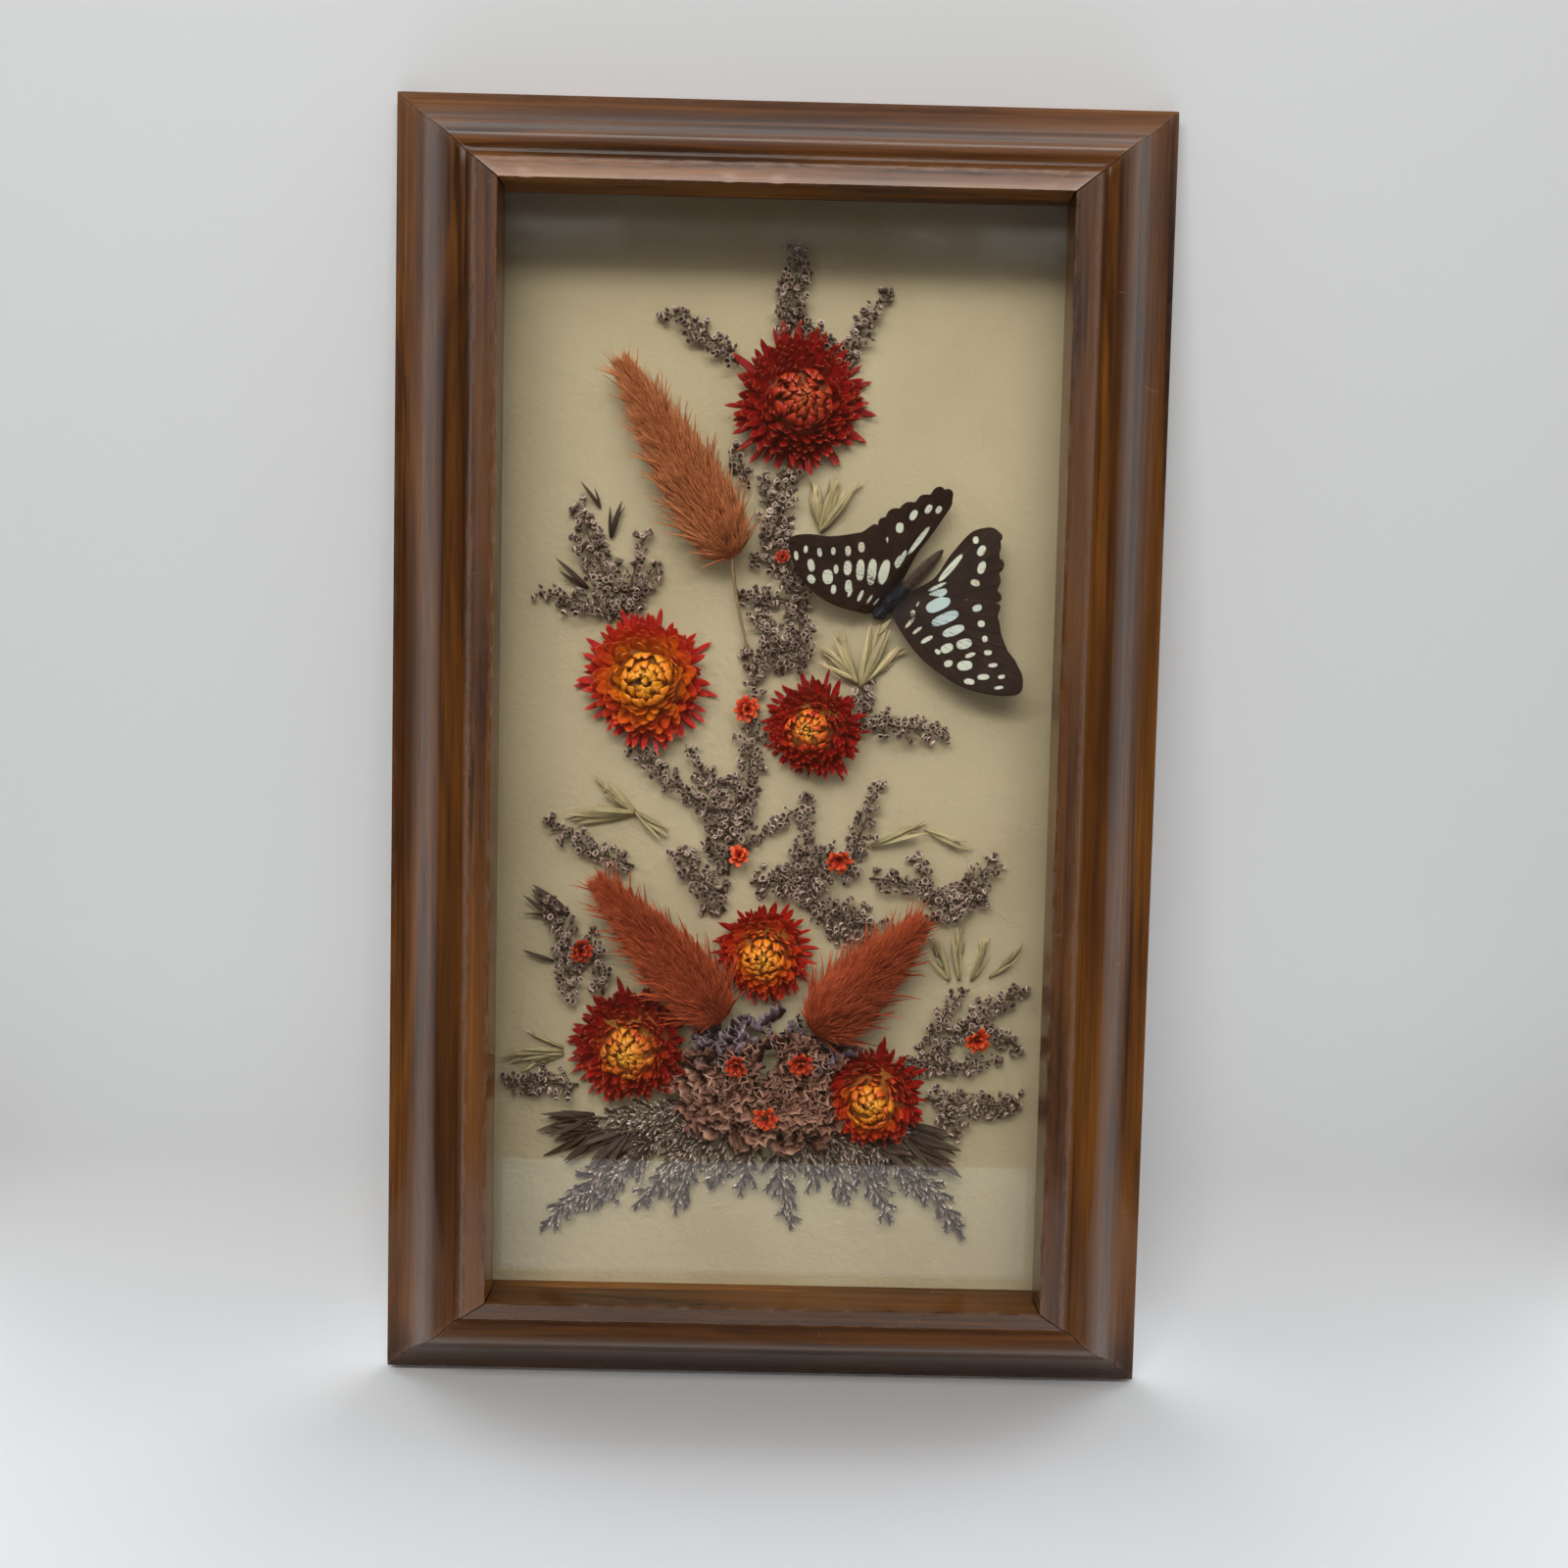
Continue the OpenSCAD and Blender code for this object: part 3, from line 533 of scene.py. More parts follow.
class Setting:
    """Places for copies of small shapes. The copies become one mesh."""

    def __init__(self):
        self.places, self.turns, self.grows, self.which = [], [], [], []
        self.marks = {}

    def put(self, place, turn, grow, which=0, **marks):
        """One copy: turn is a rotation matrix, grow a number or three."""
        self.places.append(tuple(place))
        self.turns.append(tuple(turn.to_euler()))
        self.grows.append((grow,) * 3 if isinstance(grow, (int, float)) else tuple(grow))
        self.which.append(which)
        for key, value in marks.items():
            self.marks.setdefault(key, []).append(value)

    def make(self, name, shapes, material, size=1.0):
        """The finished mesh object. shapes are (verts, faces, marks) each."""
        points = piece_of(name + "_points", self.places, [], None, turn=self.turns,
                          grow=self.grows, **self.marks)
        layer = points.data.attributes.new("which", "INT", "POINT")
        layer.data.foreach_set("value", self.which)
        stock = bpy.data.collections.new(name + "_shapes")
        for i, (verts, faces, marks) in enumerate(shapes):
            shape = piece_of(f"{name}_shape_{i:02d}", verts, faces, material, **marks)
            face_out(shape)
            bpy.context.scene.collection.objects.unlink(shape)
            stock.objects.link(shape)
        modifier = points.modifiers.new("set_out", "NODES")
        modifier.node_group = SET_OUT
        values = {"Shapes": stock, "Size": size, "Finish": material}
        for item in SET_OUT.interface.items_tree:
            if item.name in values:
                modifier[item.identifier] = values[item.name]
        bpy.context.view_layer.update()
        graph = bpy.context.evaluated_depsgraph_get()
        mesh = bpy.data.meshes.new_from_object(points.evaluated_get(graph), depsgraph=graph)
        mesh.name = name
        for spare in ("turn", "grow", "which"):
            if spare in mesh.attributes:
                mesh.attributes.remove(mesh.attributes[spare])
        thing = bpy.data.objects.new(name, mesh)
        bpy.context.scene.collection.objects.link(thing)
        for shape in list(stock.objects):
            bpy.data.objects.remove(shape)
        bpy.data.collections.remove(stock)
        bpy.data.objects.remove(points)
        return thing


def together(name, *things):
    """Joins meshes into the first one."""
    things = [t for t in things if t]
    with bpy.context.temp_override(active_object=things[0], object=things[0],
                                   selected_objects=things, selected_editable_objects=things):
        bpy.ops.object.join()
    things[0].name = things[0].data.name = name
    return things[0]


def frame_on(direction, up=(0, -1, 0), roll=0.0):
    """Rotation that turns +y to direction and +z near up, then rolls about direction."""
    along = Vector(direction).normalized()
    up = Vector(up)
    side = along.cross(up)
    if side.length < 1e-4:
        side = along.cross(Vector((1, 0, 0.1)))
    side.normalize()
    face = side.cross(along)
    turn = Matrix((side, along, face)).transposed()
    return turn @ Matrix.Rotation(roll, 3, "Y")


def leaf_shape(path, widths, thick, cup=0.0):
    """A closed thin leaf: path is (y, z) points, widths its half widths there. It points to +y."""
    path = [np.array(p, float) for p in path]
    across = (-1, -0.45, 0.45, 1, 0.45, -0.45)
    lift = (0, 0.5, 0.5, 0, -0.5, -0.5)
    verts, along, side = [], [], []
    last = len(path) - 1
    for i, (p, w) in enumerate(zip(path, widths)):
        step = path[min(i + 1, last)] - path[max(i - 1, 0)]
        step = step / (np.linalg.norm(step) or 1)
        normal = (-step[1], step[0])
        for a, up in zip(across, lift):
            rise = cup * a * a * w + up * thick
            verts.append((a * w, p[0] + normal[0] * rise, p[1] + normal[1] * rise))
            along.append(i / last)
            side.append(a)
    return verts, ring_faces(len(path), len(across)), {"along": along, "side": side}


def thread_shape(path, radius, sides=3):
    """A closed thread that thins to its end: path is (y, z) points."""
    verts, along = [], []
    last = len(path) - 1
    for i, (y, z) in enumerate(path):
        r = radius * (1 - 0.85 * i / last)
        verts += [(r * math.cos(a), y, z + r * math.sin(a)) for a in round_steps(sides)]
        along += [i / last] * sides
    return verts, ring_faces(len(path), sides), {"along": along, "side": [0.0] * len(verts)}


def stems(name, runs, material):
    """Round stalks in one mesh: runs are (points, start radius, end radius)."""
    verts, faces, along = [], [], []
    sides = 5
    for points, r0, r1 in runs:
        first = len(verts)
        last = len(points) - 1
        for i, p in enumerate(points):
            step = (points[min(i + 1, last)] - points[max(i - 1, 0)]).normalized()
            u = step.cross(Vector((0, 1, 0.01))).normalized()
            w = step.cross(u)
            r = r0 + (r1 - r0) * i / last
            verts += [p + u * (r * math.cos(a)) + w * (r * math.sin(a)) for a in round_steps(sides)]
            along += [i / last] * sides
        faces += ring_faces(len(points), sides, first)
    thing = piece_of(name, verts, faces, material, along=along, side=[0.0] * len(verts))
    face_out(thing)
    return thing


def bowed(a, b, bow, steps, lift=0.0):
    """Points from a to b along a shallow arc: bow to its side, lift off the backing."""
    a, b = Vector(a), Vector(b)
    run = b - a
    side = Vector((run.z, 0, -run.x)).normalized() if run.length else Vector((1, 0, 0))
    return [a + run * (i / steps) + side * (bow * math.sin(math.pi * i / steps))
            + Vector((0, -lift * math.sin(math.pi * i / steps), 0)) for i in range(steps + 1)]


def at_share(points, share):
    """The place at this share of a stem, the way it runs there and the way to its side."""
    last = len(points) - 1
    k = min(int(share * last), last - 1)
    ahead = (points[k + 1] - points[k]).normalized()
    return points[k].lerp(points[k + 1], share * last - k), ahead, Vector((ahead.z, 0, -ahead.x))


def scatter(rng, size=1):
    """A random step, of this size on each axis."""
    return Vector([rng.gauss(0, size) for _ in range(3)])


# ---------------------------------------------------------------- dried plants


def plant_finish(name, stops, roughness=0.6, vary=0.25, spread=0.1):
    """Dried petal or leaf: its colour runs along it, and differs a little from copy to copy."""
    f = Finish(name, **{"Specular IOR Level": 0.3})
    p = f.place()
    cloud = f.noise(p, 700, 3, 0.6)
    along, tint = f.mark("along"), f.mark("tint")
    where = along + (cloud - 0.5) * spread * 2 + (tint - 0.5) * spread * 2
    tone = where.colours(*stops)
    light = (tint - 0.5) * vary + (cloud - 0.5) * 0.5 + 1.0
    tone = f.blend(1.0, tone, f.vector(light, light, light), "MULTIPLY")
    rib = f.noise(f.vector(f.mark("side") * 9, along * 1.2, tint * 40), 1, 2)
    f.set(Base_Color=tone, Roughness=(cloud - 0.5) * 0.25 + roughness)
    f.bump(rib * 0.6 + f.noise(p, 1500, 2, 0.6) * 0.5, 0.00004, 0.8)
    return f.material


BLOOM_H = 14.0
# Strawflowers: place and diameter in mm, lean of the head (right, up) in degrees, width of a bract,
# and the colours of its bracts from the rim to the heart
BLOOMS = {
    "top": ((4.5, 95.5, 38), (6, -2), 1.05, "bracts_red",
            ((0.0, (0.30, 0.0065, 0.0070)), (0.35, (0.37, 0.0078, 0.0062)), (0.62, (0.42, 0.016, 0.0064)),
             (0.80, (0.44, 0.042, 0.0080)), (1.0, (0.43, 0.085, 0.010)))),
    "left": ((-35, 19.5, 36), (0, 0), 1.5, "bracts_orange",
             ((0.0, (0.52, 0.012, 0.011)), (0.17, (0.68, 0.042, 0.0095)), (0.40, (0.80, 0.150, 0.0085)),
              (0.70, (0.84, 0.26, 0.0080)), (1.0, (0.78, 0.36, 0.014)))),
    "right": ((11, 7.5, 29), (-12, -4), 1.1, "bracts_red",
              ((0.0, (0.38, 0.0060, 0.0080)), (0.50, (0.54, 0.0085, 0.0060)), (0.64, (0.64, 0.030, 0.0070)),
               (0.77, (0.82, 0.20, 0.012)), (0.95, (0.86, 0.46, 0.05)))),
    "middle": ((-1.5, -54.5, 28), (-2, -6), 1.35, "bracts_orange",
               ((0.0, (0.50, 0.0095, 0.0060)), (0.28, (0.68, 0.027, 0.0065)), (0.52, (0.82, 0.110, 0.0075)),
                (0.72, (0.86, 0.26, 0.013)), (1.0, (0.82, 0.36, 0.024)))),
    "low_left": ((-38, -82, 34), (-2, 0), 1.0, "bracts_red",
                 ((0.0, (0.28, 0.0060, 0.0070)), (0.42, (0.44, 0.010, 0.0065)),
                  (0.58, (0.58, 0.060, 0.0085)), (0.76, (0.76, 0.24, 0.015)), (1.0, (0.78, 0.40, 0.030)))),
    "low_right": ((30, -94.5, 31), (-9, -6), 1.4, "bracts_red",
                  ((0.0, (0.40, 0.0075, 0.0065)), (0.38, (0.53, 0.014, 0.0065)),
                   (0.58, (0.70, 0.085, 0.0075)), (0.76, (0.80, 0.26, 0.0090)), (1.0, (0.78, 0.34, 0.012)))),
}
# Rows of bracts from the rim to the heart of a head of radius 1 and height 1: the four (out, up)
# points that draw a bract from root to tip, its half width, and how closely the row is set
BRACT_ROWS = (
    (((0.50, 0.00), (0.80, 0.02), (1.00, 0.06), (1.13, 0.18)), 0.062, 0.55),
    (((0.52, 0.06), (0.78, 0.08), (0.93, 0.16), (1.04, 0.32)), 0.075, 0.95),
    (((0.54, 0.12), (0.76, 0.16), (0.88, 0.28), (0.95, 0.44)), 0.085, 1.25),
    (((0.52, 0.20), (0.71, 0.26), (0.82, 0.38), (0.87, 0.54)), 0.088, 1.30),
    (((0.49, 0.28), (0.66, 0.36), (0.76, 0.48), (0.79, 0.64)), 0.088, 1.30),
    (((0.46, 0.36), (0.60, 0.46), (0.69, 0.58), (0.70, 0.74)), 0.088, 1.30),
    (((0.42, 0.44), (0.54, 0.56), (0.62, 0.68), (0.61, 0.83)), 0.088, 1.30),
    (((0.38, 0.50), (0.48, 0.64), (0.55, 0.76), (0.51, 0.90)), 0.088, 1.25),
    (((0.36, 0.54), (0.47, 0.72), (0.49, 0.92), (0.33, 0.98)), 0.100, 1.45),
    (((0.27, 0.58), (0.36, 0.78), (0.35, 0.95), (0.19, 0.99)), 0.092, 1.50),
    (((0.18, 0.62), (0.25, 0.82), (0.22, 0.95), (0.08, 0.97)), 0.078, 1.60),
    (((0.08, 0.68), (0.13, 0.86), (0.10, 0.93), (0.00, 0.94)), 0.058, 1.60))


def bract_shapes(width):
    """A bract for each row, from its root to its tip."""
    shapes = []
    for row, (section, half, _) in enumerate(BRACT_ROWS):
        steps = 8
        path = [np.array(section[0])] + bend(*section, steps)
        half *= width if row > 1 else 1
        widths = [max(half * min(1.0, 0.55 + 1.2 * i / steps) * (1 - (i / steps) ** 3.2) ** 0.7, 0.003)
                  for i in range(steps + 1)]
        shapes.append(leaf_shape(path, widths, 0.010, cup=0.3))
    return shapes


def heart_shape():
    """Closed core that fills the dome under its bracts, with a pit at its top."""
    rings = ((0.40, 0.0), (0.74, 0.02), (0.76, 0.12), (0.68, 0.28), (0.58, 0.44), (0.47, 0.60),
             (0.40, 0.76), (0.24, 0.86), (0.08, 0.86), (0.02, 0.78))
    sides, pit = 24, 8
    verts = [(r * math.cos(a), r * math.sin(a), z) for r, z in rings for a in round_steps(sides)]
    # The pit's rings get along 0, where the bracts' finish paints shade.
    along = [0.3 if i < pit else 0.0 for i in range(len(rings)) for _ in range(sides)]
    return verts, ring_faces(len(rings), sides), {"along": along, "side": [0.0] * len(verts)}


def bract_finish(name, stops):
    """Glossy papery bracts: paler to their base, with a painted highlight on their tips, mostly in the outer
    rows, and fine ribs.
    """
    f = Finish(name)
    p = f.place()
    along, side, tint, row = f.mark("along"), f.mark("side"), f.mark("tint"), f.mark("row")
    cloud = f.noise(p, 500, 3, 0.6)
    where = row + (along * -0.10 + 0.03) + (tint - 0.5) * 0.14 + (cloud - 0.5) * 0.16
    tone = where.colours(*stops)
    ribs = f.noise(f.vector(side * 7, along * 1.1, tint * 57), 1, 3, 0.6)
    tone = f.blend(ribs.rise(0.45, 0.75, 0, 0.30), tone, f.blend(0.5, tone, (0.14, 0.006, 0.004)))
    # Painted highlight: the tips of the outer rows turn pale orange.
    tip = along.rise(0.80, 1.0, 0, 0.45) * row.rise(0.55, 0.75, 1, 0.2)
    tone = f.blend(tip, tone, f.blend(0.5, tone, (0.90, 0.30, 0.08)))
    # The core under the bracts is painted dark red and its pit near black: painted shade between the bracts
    # and in the pit.
    heart = f.mark("heart")
    tone = f.blend(heart * 0.8, tone, (0.16, 0.020, 0.006))
    tone = f.blend(heart * along.rise(0.05, 0.25, 1, 0), tone, (0.030, 0.012, 0.006))
    f.set(Base_Color=tone, Roughness=ribs * 0.2 + heart * 0.5 + 0.28)
    f.bump(ribs, 0.00012, 0.7)
    return f.material


def strawflower(name, spot, lean, width, stops, seed):
    """A flower head: rows of bracts closing over a pit, above a ring of pointed ones."""
    rng = random.Random(seed)
    r, h = spot[2] / 2 * MM, BLOOM_H * MM
    head = Setting()
    base = on_backing(spot[0], spot[1], 0.4)
    stand = (Matrix.Rotation(math.radians(lean[0]), 3, "Z")
             @ Matrix.Rotation(math.radians(90 - lean[1]), 3, "X"))
    rows = len(BRACT_ROWS) - 1
    ragged = [rng.uniform(0, 6.28) for _ in range(3)]
    for row, (section, half, close) in enumerate(BRACT_ROWS):
        around = 2 * math.pi * max(out for out, _ in section)
        number = round(close * around / (2 * half * (width if row > 1 else 1)))
        for i in range(number):
            round_at = 2 * math.pi * (i + rng.uniform(-0.3, 0.3) + row * 0.5) / number
            outer = row < 8
            pitch = max(rng.gauss(0.02, 0.07 if outer else 0.03), -0.05)
            turn = (stand @ Matrix.Rotation(round_at, 3, "Z") @ Matrix.Rotation(pitch, 3, "X")
                    @ Matrix.Rotation(rng.gauss(0, 0.16 if outer else 0.07), 3, "Y"))
            swell = 1 + 0.035 * sum(math.sin(k * round_at + ragged[k - 1]) for k in (1, 2, 3)) * outer
            reach = min(swell + rng.gauss(0, (0.09 if row < 2 else 0.05) if outer else 0.03), 1.16)
            tall = min(0.97 + rng.gauss(0, 0.03), 1.03)
            broad = 1 + rng.gauss(0, 0.14 if outer else 0.07)
            head.put(base, turn, (r * 0.90 * broad, r * 0.90 * reach, h * tall), row,
                     tint=rng.random(), row=(row + rng.uniform(-0.4, 0.4)) / rows, heart=0.0)
    head.put(base, stand, (r * 0.88, r * 0.88, h * 0.95), rows + 1, tint=0.5, row=1.0, heart=1.0)
    return head.make(name, bract_shapes(width) + [heart_shape()], bract_finish(name + "_bracts", stops))


# Sprigs of statice by cluster: base, tip and width of each, in mm from the opening's middle
SPRIGS = {
    "top": [((1.5, 113), (3.5, 136), 9), ((-12, 105.5), (-31.5, 118.5), 7),
            ((16.5, 106), (27.5, 125.5), 6), ((4, 118), (17, 107), 4), ((-8.5, 73), (-12.5, 83), 4)],
    "centre": [((6.5, 22), (6, 42), 8), ((6, 40), (-1, 62), 8), ((-1, 58), (2, 76), 8),
               ((-1.5, 56), (-4.5, 75.5), 4.5), ((1.5, 51), (-7, 53), 4), ((3, 42), (-10.5, 43.5), 4),
               ((2, 21.5), (-5.5, 42), 7), ((-3, 21), (-8.5, 27), 4), ((-6, 14.5), (-3, 30), 4)],
    "middle": [((-11.5, -19.5), (-40, 2), 7), ((-19, -7), (-23, 1), 4), ((-8, -20), (-6.5, 12), 8),
               ((-12, -34), (-14, -8), 18), ((-12.5, -44), (-26, -28), 10),
               ((6, -38), (9.5, -12), 6), ((7, -15), (0, -20), 4), ((20, -36), (29, -8), 6),
               ((3, -40), (16, -28), 14), ((8, -42), (28, -48), 14), ((-6, -36), (8, -34), 10)],
    "left": [((-41.5, 38), (-54.5, 66), 10), ((-41.5, 38), (-64.5, 43), 6),
             ((-41.5, 38), (-36.5, 59), 4.5), ((-40, 38), (-33, 50.5), 4)],
    "right": [((22, 11), (46.5, 7.5), 8), ((24.5, 10), (24, 19.5), 5)],
    "low_left": [((-53, -58), (-61, -42), 7), ((-55, -71), (-57, -55), 8),
                 ((-46, -68), (-50, -52), 7), ((-52.5, -93.5), (-72, -93), 8),
                 ((-38, -32), (-62, -20), 6)],
    "low_right": [((38.5, -87.5), (59, -72), 6), ((52, -77), (70, -64.5), 6),
                  ((44, -80), (54, -65), 5), ((40, -86.5), (64, -84), 4), ((56, -72), (69.5, -80), 5),
                  ((44, -95.5), (69.5, -97), 8), ((48.5, -95), (53.5, -105), 5),
                  ((27, -34), (45, -37), 5), ((44, -46), (61, -28), 8), ((42, -40), (58.5, -38.5), 8),
                  ((43, -37), (39.5, -28), 4)],
}


FLORET_D = 1.8 * MM


def floret_shapes():
    """Open dry cups with a crinkled pale rim and a brown pit, and closed buds."""
    shapes = []
    for seed in range(4):
        rng = random.Random(40 + seed)
        sides = 7
        rings = ((0.16, -0.1, 0.0), (0.40, 0.35, 0.35), (0.52, 0.78, 0.9), (0.50, 0.92, 1.0),
                 (0.30, 0.60, 0.25), (0.08, 0.35, 0.0))
        crinkle = [rng.uniform(0.78, 1.22) for _ in range(sides)]
        verts, along = [], []
        for r, z, t in rings:
            for j, a in enumerate(round_steps(sides)):
                k = 1 + (crinkle[j] - 1) * t
                verts.append((r * k * math.cos(a), z * (1 + (crinkle[j - 1] - 1) * t * 0.6),
                              r * k * math.sin(a)))
                along.append(t)
        shapes.append((verts, ring_faces(len(rings), sides), {"along": along, "side": [0.0] * len(verts)}))
    bud = [(0.0, -0.1, 0.0)]
    for z, r in ((0.25, 0.24), (0.6, 0.26)):
        bud += [(r * math.cos(a), z, r * math.sin(a)) for a in round_steps(5)]
    bud.append((0.0, 1.05, 0.0))
    along = [0.1] + [0.25] * 5 + [0.55] * 5 + [1.0]
    faces = [(0, 1 + (j + 1) % 5, 1 + j) for j in range(5)]
    faces += [(1 + j, 1 + (j + 1) % 5, 6 + (j + 1) % 5, 6 + j) for j in range(5)]
    faces += [(6 + j, 6 + (j + 1) % 5, 11) for j in range(5)]
    shapes.append((bud, faces, {"along": along, "side": [0.0] * len(bud)}))
    return shapes


def statice(name, sprigs, material, stalk, seed):
    """Branching sprigs with florets in little clusters along their branchlets."""
    rng = random.Random(seed)
    florets, runs = Setting(), []
    for base, tip, width in sprigs:
        a, b = on_backing(*base, 1.4), on_backing(*tip, 1.6)
        length = (b - a).length
        spine = bowed(a, b, rng.uniform(-0.05, 0.05) * length, 8, 0.8 * MM)
        runs.append((spine, 0.42 * MM, 0.20 * MM))
        number = max(3, round(length / (1.45 * MM)))
        for i in range(number + 1):
            t = (i + 0.5) / (number + 1)
            root, ahead, sideways = at_share(spine, t)
            sideways *= 1 if i % 2 else -1
            reach = width * 0.5 * MM * (0.55 + 0.55 * math.sin(math.pi * min(1, 0.25 + t * 0.85)))
            reach *= rng.uniform(0.7, 1.2)
            slope = rng.uniform(0.55, 1.05)
            up = Vector((0, -rng.uniform(-0.25, 0.55), 0))
            way = (ahead * math.cos(slope) + sideways * math.sin(slope) + up).normalized()
            end = root + way * reach
            end.y = min(end.y, backing_y - 1.0 * MM)
            if reach > 1.3 * MM:
                runs.append(([root, root.lerp(end, 0.5) + Vector((0, -0.15 * MM, 0)), end],
                             0.18 * MM, 0.12 * MM))
            count = max(2, round(reach / (0.74 * MM)))
            for c in range(count):
                spread = scatter(rng)
                spot = root.lerp(end, (c + 0.9) / count) + spread * 0.42 * MM
                spot.y = min(spot.y, backing_y - 0.7 * MM)
                face = (way * 0.8 + spread * 0.55 + Vector((0, -0.75, 0))).normalized()
                florets.put(spot, frame_on(face, (0.1, -1, 0.2), rng.uniform(0, 6.28)),
                            FLORET_D * rng.uniform(0.62, 1.12), rng.choice((0, 1, 2, 3, 0, 1, 4)),
                            tint=rng.random())
        for _ in range(4):
            spread = scatter(rng)
            florets.put(b + spread * 0.5 * MM, frame_on((b - a).normalized() + spread * 0.4),
                        FLORET_D * rng.uniform(0.6, 0.95), rng.choice((0, 2, 4)), tint=rng.random())
    return together(name, florets.make(name, floret_shapes(), material),
                    stems(name + "_stalks", runs, stalk))


TAILS = {"upper": ((-46.5, 109), (-13, 55)), "low_left": ((-51, -32), (-13.5, -71.5)),
         "low_right": ((44, -42), (13.5, -75))}
TAIL_D, TAIL_FLAT, TAIL_HAIRS = 16.0, 0.85, 9200
CORE_SHARES = (-0.038, -0.03, -0.015, 0.0, 0.03, 0.08, 0.16, 0.25, 0.35, 0.45, 0.55, 0.65, 0.75, 0.85,
               0.93)
STEM_END = (-5.5, 21)


def tail_r(s):
    """Half the thickness of a tail under its hair at the share s of its length, blunt base to tip."""
    blunt = math.sqrt(1 - (1 - min((s + 0.04) / 0.20, 1)) ** 2)
    return TAIL_D * 0.46 * blunt * max(1 - max(0, (s - 0.2) / 0.8) ** 1.5, 0.0) ** 0.9


def fur_finish(name, dark, mid, pale):
    """Soft tail hair: dark at the skin, paler towards each hair's end."""
    f = Finish(name, Roughness=0.75, **{"Specular IOR Level": 0.2})
    cloud = f.noise(f.place(), 160, 3, 0.6)
    where = f.mark("along") + (f.mark("tint") - 0.5) * 0.3 + (cloud - 0.5) * 0.4
    f.set(Base_Color=where.colours((0.05, dark), (0.55, mid), (1.0, pale)))
    return f.material


def bunny_tail(name, ends, material, seed, stem_end, stem_tone):
    """A soft grass head: a slim core thick with fine hair that lies towards the tip."""
    rng = random.Random(seed)
    mid_z = TAIL_D / 2 + 0.3
    tip, base = on_backing(*ends[0], mid_z), on_backing(*ends[1], mid_z)
    run = tip - base
    length, ahead = run.length, run.normalized()
    side = ahead.cross(Vector((0, -1, 0))).normalized()
    up = side.cross(ahead)

    def skin(share, r, a):
        return base + ahead * (share * length * 0.93) + side * (r * math.cos(a)) + up * (
            r * TAIL_FLAT * math.sin(a))

    hairs = Setting()
    for _ in range(TAIL_HAIRS):
        s = rng.uniform(0, 1) ** 1.15 * 0.98 - 0.035
        a = rng.uniform(0, 2 * math.pi)
        out = side * math.cos(a) + up * math.sin(a)
        root = skin(s, tail_r(s) * 0.92 * MM, a)
        long = rng.random() < 0.035
        tilt = math.radians(rng.gauss(16, 5) if not long else rng.gauss(27, 9))
        tilt += math.radians(30) * max(0.0, 1 - max(s, 0) / 0.10)
        twist = rng.gauss(0, 0.14)
        way = ahead * math.cos(tilt) + out * math.sin(tilt) + ahead.cross(out) * twist
        reach = (rng.uniform(4.2, 6.6) if not long else rng.uniform(8, 13)) * MM
        reach *= min(1.0, 0.75 + 4 * max(s, 0)) * (1 - 0.30 * s)
        end = root + way * reach
        if end.y > backing_y - 0.2 * MM:
            way.y -= (end.y - backing_y + 0.3 * MM) / reach
        hairs.put(root, frame_on(way, out, rng.gauss(0, 0.5)), (MM * (0.8 if long else 1), reach, reach),
                  rng.randrange(3), tint=rng.random())
    fur = hairs.make(name, [thread_shape([(t, bend_by * t * t) for t in (0, 0.35, 0.7, 1.0)], 0.045)
                            for bend_by in (0.06, 0.16, -0.05)], material)
    sides = 12
    verts = [skin(share, max(tail_r(share) * 0.94 * MM, 0.2 * MM), a)
             for share in CORE_SHARES for a in round_steps(sides)]
    body = piece_of(name + "_core", verts, ring_faces(len(CORE_SHARES), sides), material,
                    along=[0.4] * len(verts), tint=[0.4] * len(verts))
    face_out(body)
    stalk = None
    if stem_end:
        end = on_backing(*stem_end, 0.9)
        stalk = stems(name + "_stem", [(bowed(base, end, 1.2 * MM, 10), 0.55 * MM, 0.45 * MM)], stem_tone)
    return together(name, fur, body, stalk)


def ruffle_shapes():
    """Crumpled petals, each a thin closed sheet with a wavy edge."""
    shapes = []
    for seed in range(7):
        rng = random.Random(90 + seed)
        rows, cols = 6, 7
        phase, waves = rng.uniform(0, 6), rng.uniform(2.0, 3.4)
        top = []
        for i in range(rows):
            t = i / (rows - 1)
            half = 0.22 + 0.46 * math.sin(math.pi * min(1, 0.12 + 0.62 * t))
            for j in range(cols):
                u = 2 * j / (cols - 1) - 1
                rim = 1 - 0.16 * abs(u) ** 2.5 + 0.06 * math.sin(5 * u + phase)
                z = (0.20 * t * math.sin(waves * math.pi * u + phase) + 0.28 * t * t * (0.5 - u * u * 0.2)
                     + rng.gauss(0, 0.025))
                top.append((u * half, t * rim, z))
        under = [(x, y, z - 0.035) for x, y, z in top]
        n = rows * cols
        faces = []
        for i in range(rows - 1):
            for j in range(cols - 1):
                a, b, c, d = i * cols + j, i * cols + j + 1, (i + 1) * cols + j + 1, (i + 1) * cols + j
                faces += [(a, b, c, d), (n + a, n + d, n + c, n + b)]
        rim_line = ([j for j in range(cols)] + [i * cols + cols - 1 for i in range(1, rows)]
                    + [(rows - 1) * cols + j for j in range(cols - 2, -1, -1)]
                    + [i * cols for i in range(rows - 2, 0, -1)])
        for k, a in enumerate(rim_line):
            b = rim_line[(k + 1) % len(rim_line)]
            faces.append((a, n + a, n + b, b))
        along = [y for _, y, _ in top] * 2
        side = [x * 2 for x, _, _ in top] * 2
        shapes.append((top + under, faces, {"along": along, "side": side}))
    return shapes


CLUMP_LOBES = ((-13, -89, 12.5), (0, -88, 15), (12, -89, 12.5), (-9, -98, 10.5), (8, -98, 10.5))
CLUMP_H, PETALS = 10.0, 330


